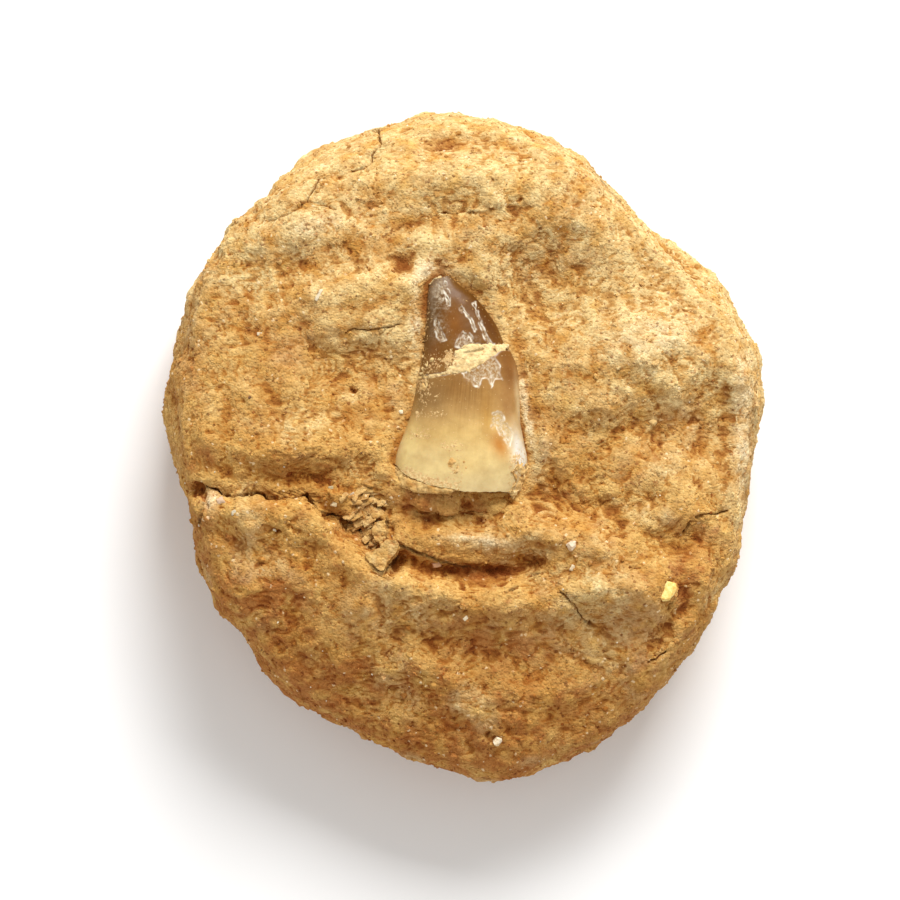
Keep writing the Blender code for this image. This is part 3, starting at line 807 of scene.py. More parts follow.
class Paint:
    """Writes the nodes of one material."""

    def __init__(self, name: str) -> None:
        """Starts an empty material.

        Args:
            name: The material's name.
        """
        self.material = bpy.data.materials.new(name)
        self.material.use_nodes = True
        self.tree = self.material.node_tree
        self.shader = self.tree.nodes["Principled BSDF"]
        self.place = self.node("ShaderNodeTexCoord").outputs["Object"]

    def node(self, kind: str, *values: object, **settings: object) -> bpy.types.Node:
        """Adds a node.

        Args:
            kind: The node's type.
            values: What its first inputs take, in order.
            settings: Its settings by name.

        Returns:
            The node.
        """
        made = self.tree.nodes.new(kind)
        for name, value in settings.items():
            setattr(made, name, value)
        for socket, value in zip(made.inputs, values):
            self.feed(socket, value)
        return made

    def feed(self, socket: Socket, value: object) -> None:
        """Links a socket to another, or sets its number or colour.

        Args:
            socket: The input to fill.
            value: An output, a number or a tone.
        """
        if isinstance(value, Socket):
            self.tree.links.new(value, socket)
        elif isinstance(value, Tone):
            socket.default_value = value.rgba()
        else:
            socket.default_value = value

    def fill(self, node: bpy.types.Node, **inputs: object) -> None:
        """Fills a node's inputs.

        Args:
            node: The node.
            inputs: Each input's value by its name, with _ for a space.
        """
        for name, value in inputs.items():
            self.feed(node.inputs[name.replace("_", " ")], value)

    def noise(self, size: float, detail: float = 2.0, rough: float = 0.5, place: object = None) -> Socket:
        """Cloudy noise.

        Args:
            size: Size of its waves.
            detail: How many finer waves lie on them.
            rough: How strong the finer waves are.
            place: Where it is read, or the object's own place.

        Returns:
            Its value, from 0 to 1.
        """
        made = self.node("ShaderNodeTexNoise")
        scale = 1.0 / (size * MM) if place is None else 1.0 / size
        self.fill(made, Vector=place or self.place, Scale=scale, Detail=detail, Roughness=rough)
        return made.outputs[0]

    def grains(self, size: float) -> tuple[Socket, Socket]:
        """Packed grains.

        Args:
            size: Size of a grain.

        Returns:
            The distance from each grain's middle, and a number from 0 to 1 of its own.
        """
        made = self.node("ShaderNodeTexVoronoi")
        self.fill(made, Vector=self.place, Scale=1.0 / (size * MM))
        own = self.node("ShaderNodeSeparateColor", made.outputs["Color"]).outputs[0]
        return made.outputs["Distance"], own

    def mark(self, mark: Mark, output: str = "Fac") -> Socket:
        """What the piece's points carry.

        Args:
            mark: The mark to read.
            output: Fac for a number and Color for a colour.

        Returns:
            Its value.
        """
        return self.node("ShaderNodeAttribute", attribute_name=mark.value).outputs[output]

    def spread(self, value: object, start: float, end: float, low: float = 0.0, high: float = 1.0) -> Socket:
        """Stretches a range of values to another.

        Args:
            value: The value to stretch.
            start: Value that becomes low.
            end: Value that becomes high.
            low: The new value at start.
            high: The new value at end.

        Returns:
            The stretched value, held between low and high.
        """
        made = self.node("ShaderNodeMapRange")
        self.fill(made, Value=value, From_Min=start, From_Max=end, To_Min=low, To_Max=high)
        return made.outputs["Result"]

    def blend(self, share: object, first: object, second: object, way: str = "MIX") -> Socket:
        """Blends two colours.

        Args:
            share: How much of the second colour shows.
            first: The colour beneath.
            second: The colour above.
            way: How the two are combined.

        Returns:
            The blended colour.
        """
        made = self.node("ShaderNodeMix", data_type="RGBA", blend_type=way)
        for index, part in ((0, share), (6, first), (7, second)):
            self.feed(made.inputs[index], part)
        return made.outputs[2]

    def ramp(self, value: object, stops: Stops, sharp: bool = False) -> Socket:
        """Colours a value by stops.

        Args:
            value: The value to colour.
            stops: Value and colour of each stop.
            sharp: True if a colour holds up to the next stop.

        Returns:
            The colour.
        """
        made = self.node("ShaderNodeValToRGB")
        made.color_ramp.interpolation = "CONSTANT" if sharp else "LINEAR"
        while len(made.color_ramp.elements) < len(stops):
            made.color_ramp.elements.new(0.5)
        for element, (place, tone) in zip(made.color_ramp.elements, stops):
            element.position = place
            element.color = tone.rgba()
        self.feed(made.inputs[0], value)
        return made.outputs[0]

    def shaded(self, share: object, base: object, value: object, stops: Stops, sharp: bool = False) -> Socket:
        """Darkens a colour by the tones of a value.

        Args:
            share: How much of the shade shows.
            base: The colour beneath.
            value: The value that shades it.
            stops: Value and colour of each stop.
            sharp: True if a colour holds up to the next stop.

        Returns:
            The shaded colour.
        """
        return self.blend(share, base, self.ramp(value, stops, sharp), "MULTIPLY")

    def bump(self, height: object, depth: float, under: object = None) -> Socket:
        """Raises the surface by a value.

        Args:
            height: The value that raises it.
            depth: Height of a full step.
            under: Bump that this one lies on.

        Returns:
            The surface's new direction.
        """
        made = self.node("ShaderNodeBump")
        self.fill(made, Height=height, Distance=depth * MM)
        if under:
            self.fill(made, Normal=under)
        return made.outputs[0]

    def done(self, **inputs: object) -> bpy.types.Material:
        """Fills the shader's inputs.

        Args:
            inputs: Each input's value by its name, with _ for a space.

        Returns:
            The finished material.
        """
        self.fill(self.shader, **inputs)
        return self.material


@dataclass(frozen=True)
class SandFinish:
    """Soft ochre sandstone: packed grains of many tones, rusty stains and pale sand dust, with painted shade
    in hollows and cracks and the painted light and shade its marks carry.
    """

    light: Tone = Tone(231, 193, 118)
    deep: Tone = Tone(217, 167, 88)
    rust_and_shade: Tone = Tone(188, 118, 58)
    pale: Tone = Tone(245, 227, 172)
    chalk: Tone = Tone(250, 238, 206)
    patch_size: float = 9.0
    grain_size: float = 0.42
    crumb_size: float = 1.2
    grain_relief: float = 0.14
    crumb_relief: float = 0.42
    speckle: float = 0.7

    GRAIN_TONES = (
        (0.0, Tone(158, 112, 76)), (0.018, Tone(216, 198, 172)), (0.2, Tone(234, 224, 208)),
        (0.5, Tone(248, 244, 236)), (0.8, WHITE),
    )
    CRUMB_TONES = ((0.0, Tone(214, 196, 176)), (1.0, WHITE))
    # Painted shade in hollows: the deeper a point lies, the darker and browner it is drawn
    HOLLOW_SHADE_TONES = (
        (0.0, WHITE), (0.5, Tone(252, 248, 242)), (0.7, Tone(230, 204, 168)), (1.0, Tone(176, 128, 84)),
    )

    def material(self, name: str) -> bpy.types.Material:
        """The sand's material.

        Args:
            name: The material's name.

        Returns:
            The material.
        """
        paint = Paint(name)
        patches = paint.spread(paint.noise(self.patch_size, 4.0), 0.38, 0.62)
        ground = paint.blend(patches, self.deep, self.light)
        # rusty stains with painted shade, pale sand with painted light, and chalk
        for mark, tone in ((Mark.RUST, self.rust_and_shade), (Mark.PALE, self.pale), (Mark.CHALK, self.chalk)):
            ground = paint.blend(paint.mark(mark), ground, tone)
        distance, own = paint.grains(self.grain_size)
        ground = paint.shaded(self.speckle, ground, own, self.GRAIN_TONES, sharp=True)
        spots = paint.spread(paint.noise(1.0, 3.0, 0.7), 0.6, 0.66, 0.0, 0.5)
        ground = paint.blend(spots, ground, self.rust_and_shade)
        ground = paint.shaded(0.5, ground, paint.grains(self.crumb_size)[1], self.CRUMB_TONES)
        quartz = paint.spread(own, 0.99, 0.992, 0.0, 0.6)
        ground = paint.blend(quartz, ground, Tone(248, 228, 188))
        # painted shade in the hollows
        ground = paint.shaded(1.0, ground, paint.mark(Mark.HOLLOW), self.HOLLOW_SHADE_TONES)
        # painted shade in the cracks
        ground = paint.blend(paint.mark(Mark.CRACK), ground, Tone(58, 32, 16))
        drawn = paint.node("ShaderNodeVectorMath", paint.place, (0.55, 1.0, 1.0), operation="MULTIPLY")
        lumps = paint.bump(paint.noise(0.75 * MM, 3.0, 0.6, drawn.outputs[0]), self.crumb_relief)
        skin = paint.bump(paint.spread(distance, 0.0, 0.8, 1.0, 0.0), self.grain_relief, lumps)
        return paint.done(
            Base_Color=ground, Roughness=0.95, Diffuse_Roughness=0.6, Specular_IOR_Level=0.2, Normal=skin,
        )


@dataclass(frozen=True)
class GrainFinish:
    """Loose grains of the same sand, each of its own tone, with clear and white ones among them."""

    roughness: float = 0.8

    def material(self, name: str) -> bpy.types.Material:
        """The grains' material.

        Args:
            name: The material's name.

        Returns:
            The material.
        """
        paint = Paint(name)
        speckle = paint.spread(paint.noise(0.25, 2.0), 0.3, 0.7, 0.8, 1.0)
        ground = paint.blend(1.0, paint.mark(Mark.TINT, "Color"), speckle, "MULTIPLY")
        skin = paint.bump(paint.noise(0.2, 2.0), 0.04)
        return paint.done(Base_Color=ground, Roughness=self.roughness, Specular_IOR_Level=0.3, Normal=skin)


@dataclass(frozen=True)
class EnamelFinish:
    """Glossy, slightly clear enamel with fine stripes, dull whitish places where it flaked, and pale broken
    rims that are partly a painted highlight.
    """

    flaked_dark: Tone = Tone(168, 142, 108)
    flaked_light: Tone = Tone(226, 212, 184)
    # pale broken enamel, partly a painted highlight
    rim: Tone = Tone(240, 232, 212)
    dust_dark: Tone = Tone(188, 140, 84)
    dust_light: Tone = Tone(238, 208, 150)
    gloss: float = 0.36
    dull: float = 0.65

    STRIPE_TONES = ((0.3, Tone(196, 182, 162)), (0.7, WHITE))
    CLOUD_TONES = ((0.3, Tone(206, 192, 176)), (0.7, WHITE))

    def material(self, name: str) -> bpy.types.Material:
        """The enamel's material.

        Args:
            name: The material's name.

        Returns:
            The material.
        """
        paint = Paint(name)
        stripe_place = paint.node("ShaderNodeCombineXYZ", paint.mark(Mark.ACROSS), paint.mark(Mark.ALONG))
        stripes = paint.noise(0.035, 3.0, 0.6, stripe_place.outputs[0])
        striped = paint.spread(paint.mark(Mark.STRIPED), 0.0, 1.0, 0.06, 0.75)
        ground = paint.shaded(striped, paint.mark(Mark.TINT, "Color"), stripes, self.STRIPE_TONES)
        ground = paint.shaded(0.6, ground, paint.noise(2.6, 4.0, 0.6), self.CLOUD_TONES)
        flaked = paint.mark(Mark.FLAKED)
        grit = paint.noise(0.45, 3.0, 0.7)
        gritty = paint.spread(grit, 0.35, 0.65)
        veil = paint.spread(paint.noise(0.4, 3.0, 0.7), 0.38, 0.62, 0.0, 0.75)
        shown = paint.node("ShaderNodeMath", flaked, veil, operation="MULTIPLY").outputs[0]
        ground = paint.blend(shown, ground, paint.blend(gritty, self.flaked_dark, self.flaked_light))
        # pale broken rims, partly a painted highlight
        ground = paint.blend(paint.mark(Mark.RIM), ground, self.rim)
        dust, patchy = paint.mark(Mark.DUST), paint.noise(0.5, 3.0, 0.7)
        thick = paint.node("ShaderNodeMath", dust, 0.19, patchy, operation="MULTIPLY_ADD").outputs[0]
        dusty = paint.spread(thick, 0.655, 0.7, 0.0, 0.9)
        ground = paint.blend(dusty, ground, paint.blend(gritty, self.dust_dark, self.dust_light))
        gloss = paint.spread(flaked, 0.0, 1.0, self.gloss, self.dull)
        grooves = paint.bump(stripes, 0.012)
        skin = paint.bump(dusty, 0.03, paint.bump(grit, 0.02, grooves))
        return paint.done(
            Base_Color=ground, Roughness=gloss, Normal=skin, Specular_IOR_Level=0.15,
            Coat_Weight=0.05, Coat_Roughness=0.2,
            Subsurface_Weight=0.1, Subsurface_Scale=MM, Subsurface_Radius=(1.2, 0.7, 0.35),
        )


@dataclass(frozen=True)
class ChipFinish:
    """A chip of bone or quartz with a faint grain of its own."""

    tone: Tone
    shade: Tone
    roughness: float = 0.5

    def material(self, name: str) -> bpy.types.Material:
        """The chip's material.

        Args:
            name: The material's name.

        Returns:
            The material.
        """
        paint = Paint(name)
        ground = paint.blend(paint.spread(paint.noise(0.6, 4.0, 0.6), 0.35, 0.65), self.shade, self.tone)
        skin = paint.bump(paint.noise(0.3, 3.0), 0.06)
        return paint.done(Base_Color=ground, Roughness=self.roughness, Normal=skin)


@dataclass(frozen=True)
class CrownForm:
    """The shape of the crown: two cutting edges and a bulging face between them."""

    level: float = 31.0
    tip_rise: float = 0.8
    bulge: float = 0.27
    depth: float = 0.34
    segments: int = 240
    rings: int = 290
    crowding: float = 0.5
    collar_base: float = 0.9
    collar_tip: float = -0.3
    base_end: float = -8.6
    tip_end: float = 28.7
    plug_grow: float = 0.55

    def share(self, y: Array) -> Array:
        """How far along the crown a place lies, from 0 at its base to 1 at its tip."""
        return held((y - self.base_end) / (self.tip_end - self.base_end))

    def edge_level(self, y: Array) -> Array:
        """Height of the cutting edges above the back."""
        return self.level + self.tip_rise * self.share(y)

    def collar_level(self, y: Array) -> Array:
        """Height at which the sand meets the crown."""
        return self.edge_level(y) + self.collar_base + (self.collar_tip - self.collar_base) * self.share(y)

    def edges(self, count: int) -> tuple[Array, Array]:
        """Points along the left and the right edge.

        Args:
            count: How many points on each edge.

        Returns:
            The left and the right points, from the base to the tip.
        """
        return tuple(smooth_path([station[side] for station in CROWN_STATIONS], count) for side in (0, 1))

    def outline(self) -> Line:
        """The crown's outline on the face, from its broken base round its tip.

        Returns:
            The outline's corners.
        """
        left, right = self.edges(40)
        whole = [*map(tuple, left), *map(tuple, right[::-1])]
        return [(x, y) for x, y in whole if y > np.interp(x, *np.array(ROOT_BREAK).T)]

    def edge_x(self, y: Array) -> tuple[Array, Array]:
        """Where the two edges lie at each distance along the crown.

        Args:
            y: Places, towards the tip.

        Returns:
            The left and the right edge's places, to the right.
        """
        return tuple(np.interp(y, edge[:, 1], edge[:, 0]) for edge in self.edges(80))

    def near(self, x: Array, y: Array, reach: float) -> Array:
        """How close places on the face are to the crown.

        Args:
            x: Places, to the right.
            y: Places, towards the tip.
            reach: Distance over which it fades.

        Returns:
            1 under the crown, falling to 0 away from it.
        """
        outline = self.outline()
        distance = line_distance(x, y, [*outline, outline[0]])
        return np.where(inside(x, y, outline), 1.0, fall(distance, reach))

    def build(self, name: str, grow: float = 0.0) -> Piece:
        """The whole crown, shaped from a ball.

        Args:
            name: The new piece's name.
            grow: How much larger it is on every side.

        Returns:
            The closed crown.
        """
        deselect_all()
        bpy.ops.mesh.primitive_uv_sphere_add(segments=self.segments, ring_count=self.rings, radius=1.0)
        ball = bpy.context.object
        ball.name = ball.data.name = name
        on_ball = read_rows(ball.data.vertices, "co")
        along = 1.0 - np.arccos(np.clip(on_ball[:, 2], -1.0, 1.0)) / math.pi
        round_it = np.arctan2(on_ball[:, 1], on_ball[:, 0])
        angle = round_it + self.crowding * np.cos(round_it)
        left, right = self.edges(self.rings + 1)
        ring = np.rint(along * self.rings).astype(int)
        start, end = left[ring], right[ring]
        middle, half = (start + end) / 2, (end - start) / 2
        width = 2 * np.hypot(half[:, 0], half[:, 1])
        pole = (ring == 0) | (ring == self.rings)
        stretch = np.where(pole, 0.0, 1.0 + 2 * grow / width)
        across = middle + half * (stretch * np.cos(angle))[:, None]
        rise = (np.where(np.sin(angle) > 0, self.bulge, self.depth) * width + grow) * np.sin(angle)
        height = self.edge_level(middle[:, 1]) + np.where(pole, 0.0, rise)
        write_points(ball, np.column_stack([across, height]))
        with editing(ball):
            bpy.ops.mesh.normals_make_consistent(inside=False)
        return ball

    def plug(self) -> Piece:
        """Sand that closes the gap round the crown, up to where the sand meets it."""
        plug = CrownForm(segments=64, rings=60).build("crown_plug", self.plug_grow)
        points = read_points(plug)
        points[:, 2] = np.minimum(points[:, 2], self.collar_level(points[:, 1]))
        write_points(plug, points)
        far = 2 * PAST_CROWN
        side = [*((x, y + 0.1) for x, y in ROOT_BREAK), (PAST_CROWN, far), (-PAST_CROWN, far)]
        cut(plug, prism("plug_side", side, CUTTER_FLOOR, CUTTER_TOP), "INTERSECT")
        return plug


@dataclass
class MatrixBlock:
    """The round block of sandy matrix: its broken layers, crumbs, cracks, pits and stains, and the light and
    shade painted on it.
    """

    crown: CrownForm
    voxel: float = 0.4
    smoothing: int = 5
    faces_kept: int = 190000
    ledge_height: float = 2.6
    ledge_steps: float = 6.0
    seed: float = 7.3
    crack_reach: float = 1.0
    evening: int = 70
    bend: float = 1.1
    bend_size: float = 4.0
    layer_size: float = 3.4
    layer_stretch: tuple[float, float, float] = (2.6, 1.0, 1.0)
    hole_depth: float = 0.16
    calm_reach: float = 1.6
    calm_share: float = 0.55
    plug_sunk: float = 0.95
    plug_margin: tuple[float, float, float] = (0.9, 0.9, 0.2)

    # Height, size and shift of the crumbs
    CRUMBS = ((0.36, 2.1, 2.0), (0.15, 1.05, 5.0))

    def build(self) -> Piece:
        """Builds and dresses the block.

        Returns:
            The block.
        """
        stone = merged_copy("matrix_block", "sandy_matrix_block")
        plugs = [self.crown.plug(), *(self.inclusion_plug(name) for name in Inclusions.NODES)]
        pick(stone, *plugs)
        bpy.ops.object.join()
        voxel_remesh(stone, self.voxel)
        apply_modifier(stone, "SMOOTH", factor=0.5, iterations=self.smoothing)
        self.even_out(stone)
        self.refine(stone)
        self.weather(stone)
        apply_modifier(stone, "DECIMATE", ratio=min(1.0, self.faces_kept / (2 * len(stone.data.polygons))))
        pick(stone)
        bpy.ops.object.shade_smooth()
        self.stain(stone)
        finish_piece(stone, SandFinish().material("ochre sandstone"), ["matrix_block"])
        return stone

    def inclusion_plug(self, node: str) -> Piece:
        """Sand that closes the gap round a small chip.

        Args:
            node: The chip's solid.

        Returns:
            A flat ball under the chip's top.
        """
        low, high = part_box(node)
        deselect_all()
        middle = (low + high) / 2 - Vector((0.0, 0.0, self.plug_sunk * MM))
        bpy.ops.mesh.primitive_ico_sphere_add(subdivisions=3, radius=0.5, location=middle)
        ball = bpy.context.object
        ball.scale = high - low + Vector(self.plug_margin) * MM
        bpy.ops.object.transform_apply(location=True, rotation=True, scale=True)
        return ball

    def even_out(self, stone: Piece) -> None:
        """Evens out the wider cracks, each as strongly as it says.

        Args:
            stone: The block.
        """
        x, y, z = read_points(stone).T
        weight = np.zeros(len(x))
        for width, share, line in EVENED:
            weight = np.maximum(weight, share * fall(line_distance(x, y, line), width))
        group = stone.vertex_groups.new(name="evened")
        tenths = np.rint(10 * weight * (z > CRACK_FLOOR)).astype(int)
        for tenth in range(1, 11):
            group.add(np.flatnonzero(tenths == tenth).tolist(), tenth / 10, "REPLACE")
        apply_modifier(stone, "SMOOTH", factor=0.5, iterations=self.evening, vertex_group=group.name)
        stone.vertex_groups.clear()

    def refine(self, stone: Piece) -> None:
        """Divides the faces along the cracks, so that a thin crack keeps its shape.

        Args:
            stone: The block.
        """
        x, y, z = (read_rows(stone.data.polygons, "center") / MM - FACE_SHIFT).T
        close = np.full(len(x), np.inf)
        for _, _, line in CRACKS:
            close = np.minimum(close, line_distance(x, y, line))
        with editing(stone):
            bpy.ops.mesh.select_mode(type="FACE")
            bpy.ops.mesh.select_all(action="DESELECT")
        stone.data.polygons.foreach_set("select", (close < self.crack_reach) & (z > CRACK_FLOOR))
        bpy.ops.object.mode_set(mode="EDIT")
        bpy.ops.mesh.subdivide(number_cuts=2, ngon=False)
        bpy.ops.object.mode_set(mode="OBJECT")

    def crack_lines(self, points: Array) -> tuple[Array, Array]:
        """Depth of the cracks and pits at each point, and how much painted shade darkens a crack there.

        Args:
            points: Points in millimetres.

        Returns:
            The depth and the share.
        """
        x = waves(points, (0.25, 1.1, 3.0), (0.15, 4.0, 5.0), base=points[:, 0])
        y = waves(points, (0.25, 1.1, 9.0), (0.15, 4.0, 1.0), base=points[:, 1])
        opening = np.clip(waves(points, (1.1, 2.4, 13.0), base=1.0), 0.6, 1.6)
        depth, share = np.zeros(len(points)), np.zeros(len(points))
        for width, deep, line in CRACKS:
            near = fall(line_distance(x, y, line), width * opening)
            depth = np.maximum(depth, deep * near)
            share = np.maximum(share, min(1.0, 0.4 + 0.6 * deep) * near)
        for pit in PITS:
            depth = np.maximum(depth, pit.share(x, y))
        return depth, share

    def weather(self, stone: Piece) -> None:
        """Breaks up the block's skin into ledges, crumbs and pits.

        Args:
            stone: The block.
        """
        points, normals = read_points(stone), read_normals(stone)
        x, y = points[:, 0].copy(), points[:, 1].copy()
        shifts = (11.0, 23.0, 37.0)
        sway = np.column_stack([field(points, self.bend_size, shift) for shift in shifts])
        bent = points + self.bend * sway
        layers = field(bent / self.layer_stretch, self.layer_size, self.seed)
        steps = layers * self.ledge_steps
        sharp = np.floor(steps) + smooth_step(steps - np.floor(steps), 0.38, 0.62)
        ledges = self.ledge_height * (sharp - steps) / self.ledge_steps
        crumbs = sum(rise * (0.5 - cells(bent, size, shift)) for rise, size, shift in self.CRUMBS)
        swells = 0.45 * field(points, 5.2, 17.0) + 0.28 * field(bent, 2.3, 29.0)
        swells += 0.16 * field(points, 1.0, 31.0)
        busy = waves(points, (0.5, 16.0, 41.0), base=0.75)
        calm = self.crown.near(x, y, self.calm_reach)
        height = (ledges + crumbs + swells) * busy * (1.0 - self.calm_share * calm)
        holes = smooth_step(field(bent, 1.7, 53.0), 0.42, 0.6)
        height -= self.hole_depth * holes * (1.0 - calm)
        face = smooth_step(normals[:, 2], 0.0, 0.4)
        height -= self.crack_lines(points)[0] * face
        uneven = waves(points, (0.5, 2.0, 19.0), base=1.0)
        for width, rise, line in HEAPED:
            height += rise * uneven * face * fall(line_distance(x, y, line), width)
        height *= smooth_step(points[:, 2], 0.1, 1.6)
        points += normals * height[:, None]
        points[:, 2] = np.where(points[:, 2] < 0.12, 0.0, points[:, 2])
        write_points(stone, points)

    def hollows(self, stone: Piece, points: Array, rounds: int) -> Array:
        """How deep each point lies below its surroundings.

        Args:
            stone: The block.
            points: Its points.
            rounds: How often the surroundings are evened out.

        Returns:
            The depth in millimetres, negative on a crest.
        """
        ends = read_rows(stone.data.edges, "vertices", 2, int)
        ways = (ends.T, ends[:, ::-1].T)
        total = len(points)
        count = np.bincount(ends.ravel(), minlength=total)[:, None]
        even = points
        for _ in range(rounds):
            sums = [sum(np.bincount(at, even[to, axis], total) for at, to in ways) for axis in range(3)]
            even = 0.5 * even + 0.5 * np.column_stack(sums) / count
        return np.einsum("ij,ij->i", even - points, read_normals(stone))

    def stain(self, stone: Piece) -> None:
        """Marks rusty stains and painted shade, pale sand and painted light, chalk, and painted shade in
        hollows and cracks for the material.

        Args:
            stone: The block.
        """
        points, normals = read_points(stone), read_normals(stone)
        x, y = points[:, 0], points[:, 1]
        ragged_edge = waves(points, (1.1, 2.6, 61.0), (0.5, 0.9, 67.0), base=0.65)
        face = smooth_step(normals[:, 2], -0.2, 0.4)
        rust_and_shade = sum(stain.share(x, y) for stain in RUST_AND_SHADE_PATCHES) * face
        # rusty side walls; the extra on the left wall is painted shade
        rust_and_shade += (1.0 - face) * (0.35 + 0.4 * smooth_step(-x, 20.0, 45.0))
        rust_and_shade += 0.5 * smooth_step(field(points, 6.0, 71.0), 0.2, 0.7)
        # painted shade: browner and darker towards the bottom
        rust_and_shade += 0.55 * smooth_step(-y - 0.2 * x, 18.0, 52.0)
        rust_and_shade += 0.6 * smooth_step(field(points, 1.4, 73.0), 0.3, 0.5) * smooth_step(-y, -10.0, 20.0)
        # painted shade on faces turned away from the key light
        rust_and_shade += 0.4 * smooth_step(-normals[:, 1], 0.1, 0.6) * face
        pale = sum(patch.share(x, y) for patch in PALE_AND_LIT_PATCHES) * face
        # painted light: paler towards the top and the upper right
        pale += 0.95 * smooth_step(y + 0.25 * x + 6.0 * field(points, 14.0, 83.0), -16.0, 34.0)
        pale += 0.6 * smooth_step(field(points, 8.0, 79.0), 0.2, 0.6)
        # painted light on the right side wall
        pale += 0.5 * (1.0 - face) * smooth_step(x, 10.0, 50.0)
        chalk = sum(patch.share(x, y) for patch in CHALKY_PATCHES) * face
        # how deep each point lies in a hollow, which the material draws as painted shade
        depth = 0.6 * self.hollows(stone, points, 8) / 0.12 + 0.6 * self.hollows(stone, points, 40) / 0.4
        # the stains carry painted shade and painted light, and the cracks painted shade
        stains = {
            Mark.RUST: rust_and_shade * ragged_edge, Mark.PALE: pale * ragged_edge,
            Mark.CHALK: chalk * (ragged_edge + 0.3), Mark.CRACK: self.crack_lines(points)[1] * face,
        }
        store_shares(stone, stains, 0.8)
        store_shares(stone, {Mark.HOLLOW: 0.5 + 0.25 * depth})


